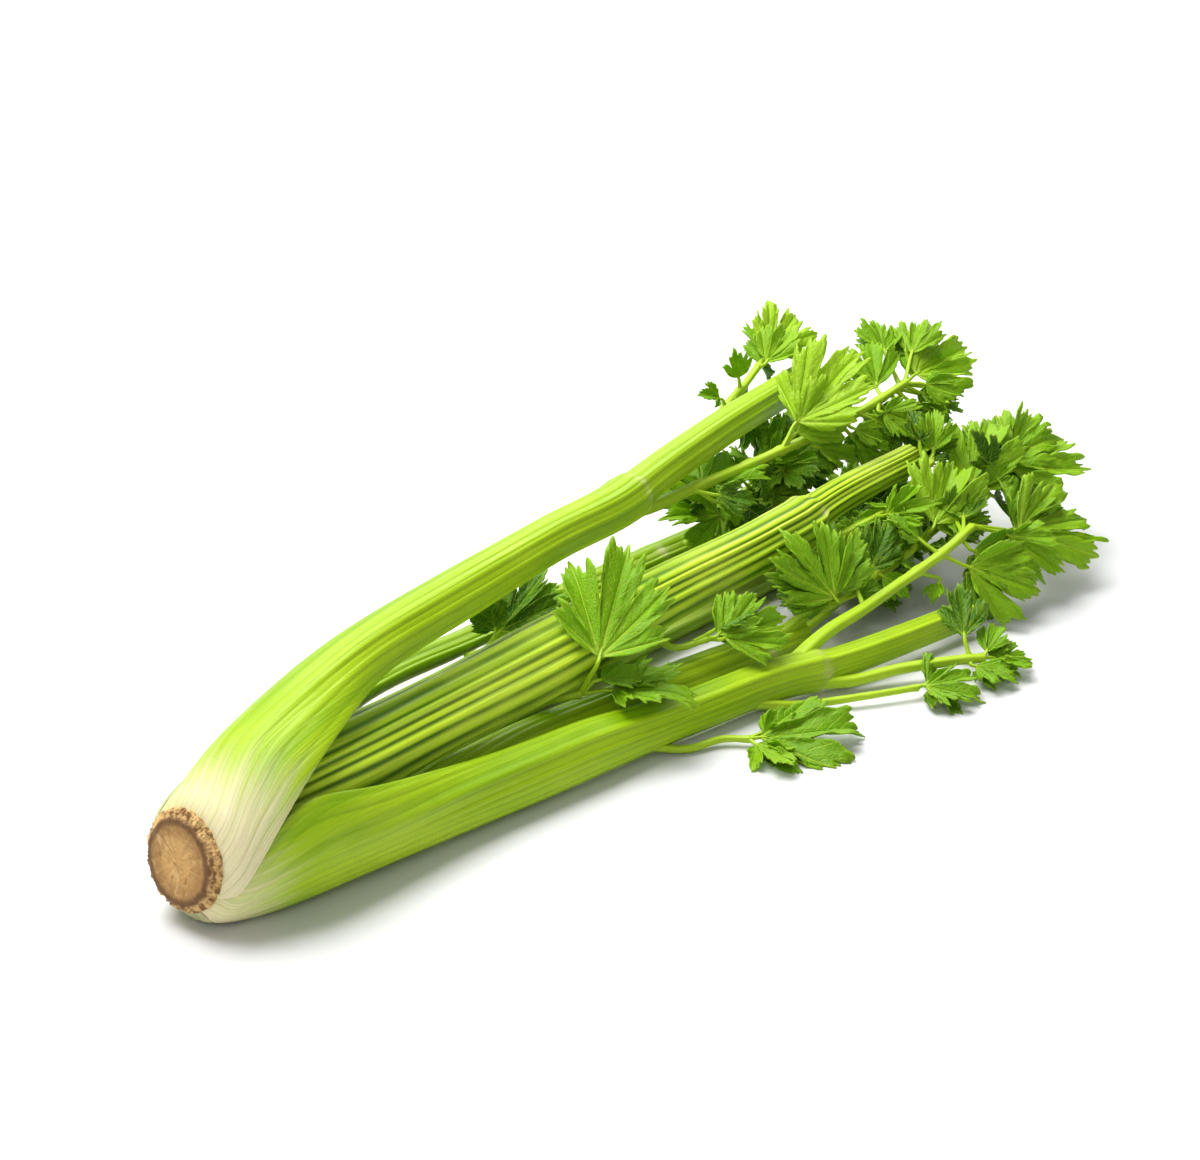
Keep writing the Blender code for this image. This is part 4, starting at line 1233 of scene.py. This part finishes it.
def secondLeaflet(base, tip, face, form, roll, droop, tone, seed):
    # a smaller leaflet behind the first, on the side where it clears the stalks
    draw = random.Random(seed)
    size = (tip - base).length
    heading = (tip - base).normalized()
    turned = draw.choice((-1, 1)) * draw.uniform(24, 44)
    side, normal = frameAbout(heading, face)
    scale = draw.uniform(0.66, 0.82)
    tilt = roll + draw.uniform(-12, 12)
    form = "three" if form == "broad" else "small"
    # the leaflet behind is drawn darker, as painted shade
    droop, tone = droop + 0.05, max(0.0, tone - 0.25)
    for turned in (turned, -turned):
        start = base - normal * sprayForm["secondBack"] + side * (0.04 * size * math.copysign(1, turned))
        end = start + heading * size * scale
        sheet = leafSheet(start, end, face, form, tilt, droop, tone, seed + 1, 1.2, turned)
        if clearOfStalks(sheet[0], 0.2):
            return [sheet]
    return []


def insideBox(base, tip):
    side = filling["side"]
    lengthwise = cadLow[0] / mm + side < tip.x < cadHigh[0] / mm - side
    sideways = cadLow[1] / mm + side < tip.y < cadHigh[1] / mm - filling["back"]
    low, high = filling["tips"]
    return lengthwise and sideways and low < tip.z < high and base.z >= filling["baseFrom"]


def fillCluster(name, look, face, stems, sheets):
    # further leaflets inside the cluster, each where it clears the stalks
    stem = look["stem"]
    draw = random.Random(sum(map(ord, name)))
    onward = (Vector(stem[-1][:3]) - Vector(stem[0][:3])).normalized()
    placed = tries = 0
    while placed < look["more"] and tries < filling["tries"]:
        tries += 1
        root = pointOn(stem, draw.uniform(0.12, 1.0))
        inward = (filling["centre"] - root) * filling["pull"]
        spread = Vector([draw.uniform(-1, 1) for _ in range(3)])
        heading = (onward * draw.uniform(0.2, 1.0) + spread * filling["spread"] + inward).normalized()
        base = root + (heading + spread * 0.3).normalized() * draw.uniform(*filling["free"])
        size = draw.uniform(*filling["size"])
        tip = base + heading * size
        if not insideBox(base, tip):
            continue
        form = draw.choice(("three", "small", "fan"))
        roll = draw.uniform(-35, 35)
        droop = draw.uniform(0, 0.25)
        tone = draw.uniform(*filling["tone"])
        sheet = leafSheet(base, tip, face, form, roll, droop, tone, 900 + tries, 1.3)
        if clearOfStalks(sheet[0]):
            placed += 1
            sheets.append(sheet)
            # darker stalks inside the cluster, as painted shade
            stems.append(petiole(root, base, heading, size, 0.3, tries))


def makeSpray(name, look):
    stems, sheets = [], []
    stem = look["stem"]
    path = smoothRows((look["root"], *stem), 1.2)
    travel = travelAlong(path[:, :3])
    rooted = travel[-1] - sum((Vector(b[:3]) - Vector(a[:3])).length for a, b in zip(stem, stem[1:]))
    swell = np.ones(len(path))
    for where, *_ in look["leaves"]:
        joint = rooted + where * (travel[-1] - rooted)
        swell = np.maximum(swell, 1 + sprayForm["joint"] * hill(travel, joint, 2.2))
    path[:, 3] *= swell
    flat, faces, corners = tubeMesh(path, sprayForm["sides"], 7, 0.06, 0.28, len(name))
    stems.append((flat, faces, corners, np.full(len(flat), 0.8)))
    face = leafFaces[look.get("face", "front")]
    for k, (where, base, tip, form, roll, droop, tone) in enumerate(look["leaves"]):
        seed = 100 * len(name) + 7 * k + sum(map(ord, name))
        base, tip = Vector(base), Vector(tip)
        size = (tip - base).length
        heading = (tip - base).normalized()
        stems.append(petiole(pointOn(stem, where), base, heading, size, tone, seed))
        leaflet = (base, tip, face, form, roll, droop, tone, seed)
        sheets.append(leafSheet(*leaflet))
        if size > sprayForm["secondFrom"]:
            sheets += secondLeaflet(*leaflet)
    fillCluster(name, look, face, stems, sheets)
    points, faces, corners, (tones,) = gather(stems)
    branch = makePiece(name + "_branches", points, faces, (branchSkin,), {"tone": tones}, corners, 60.0)
    fit(branch, name)
    points, faces, corners, (tones, margins) = gather(sheets)
    points[:, 2] = np.maximum(points[:, 2], sprayForm["lowest"])
    values = {"tone": tones, "margin": margins}
    leaves = makePiece(name + "_leaves", points, faces, (leafSkin,), values, corners, 0)
    bpy.context.view_layer.objects.active = leaves
    leaves.select_set(True)
    thicken = leaves.modifiers.new("thickness", "SOLIDIFY")
    thicken.thickness = blade["thick"] * mm
    thicken.offset = 0.0
    bpy.ops.object.modifier_apply(modifier=thicken.name)
    leaves.select_set(False)
    fit(leaves, name)
    return branch, leaves


for sprayName, look in sprays.items():
    branch, leaves = makeSpray(sprayName, look)
    print("spray", sprayName, len(branch.data.polygons), len(leaves.data.polygons))


# the studio

studio = {
    "floorSize": 6.0,
    "floorTone": 0.77,
    "sky": 0.28,
    "aim": (0, 0, 0.03),
    # each lamp's place, size and power
    "lamps": {
        "overhead": ((-0.12, 0.52, 1.25), (1.15, 1.0), 31),
        "frontSide": ((-1.1, -1.0, 1.1), (0.9, 0.7), 4.5),
        "backSide": ((0.9, 0.9, 0.9), (0.7, 0.6), 7),
    },
    "target": (0.0, 0.025, 0.035),
    "azimuth": -43.0,
    "elevation": 26.0,
    "distance": 1.15,
    "sensor": 36.0,
    "lens": 3210 / 1200 * 36.0,  # 3210 pixels in a picture 1200 wide
}


def makeFloor():
    bpy.ops.mesh.primitive_plane_add(size=studio["floorSize"], location=(0, 0, 0))
    floor = bpy.context.object
    floor.name = "floor"
    made, tree, shader = newMaterial("paleFloor")
    tone = studio["floorTone"]
    setSockets(shader, {"Base Color": (tone, tone, tone, 1), "Roughness": 0.75, "Specular IOR Level": 0.2})
    floor.data.materials.append(made)


def makeLamp(name, place, size, power):
    lamp = bpy.data.lights.new(name, "AREA")
    lamp.shape = "RECTANGLE"
    lamp.size, lamp.size_y = size
    lamp.energy = power
    holder = bpy.data.objects.new(name, lamp)
    bpy.context.scene.collection.objects.link(holder)
    holder.location = place
    holder.rotation_euler = (Vector(studio["aim"]) - Vector(place)).to_track_quat("-Z", "Y").to_euler()


def makeSky():
    world = bpy.data.worlds.new("studioWorld")
    bpy.context.scene.world = world
    world.use_nodes = True
    setSockets(world.node_tree.nodes["Background"], {"Color": (1.0, 1.0, 1.0, 1), "Strength": studio["sky"]})


def makeCamera():
    lens = bpy.data.cameras.new("camera")
    lens.sensor_width = studio["sensor"]
    lens.sensor_fit = "HORIZONTAL"
    lens.lens = studio["lens"]
    lens.clip_start = 0.05
    lens.clip_end = 20.0
    eye = bpy.data.objects.new("camera", lens)
    bpy.context.scene.collection.objects.link(eye)
    azimuth, elevation = math.radians(studio["azimuth"]), math.radians(studio["elevation"])
    level = math.cos(elevation)
    back = Vector((level * math.sin(azimuth), -level * math.cos(azimuth), math.sin(elevation)))
    eye.location = Vector(studio["target"]) + back * studio["distance"]
    eye.rotation_euler = back.to_track_quat("Z", "Y").to_euler()
    bpy.context.scene.camera = eye
    bpy.context.scene.view_settings.view_transform = "Standard"
    bpy.context.scene.view_settings.look = "None"


makeFloor()
for lampName, settings in studio["lamps"].items():
    makeLamp(lampName, *settings)
makeSky()
makeCamera()
print("studio set")
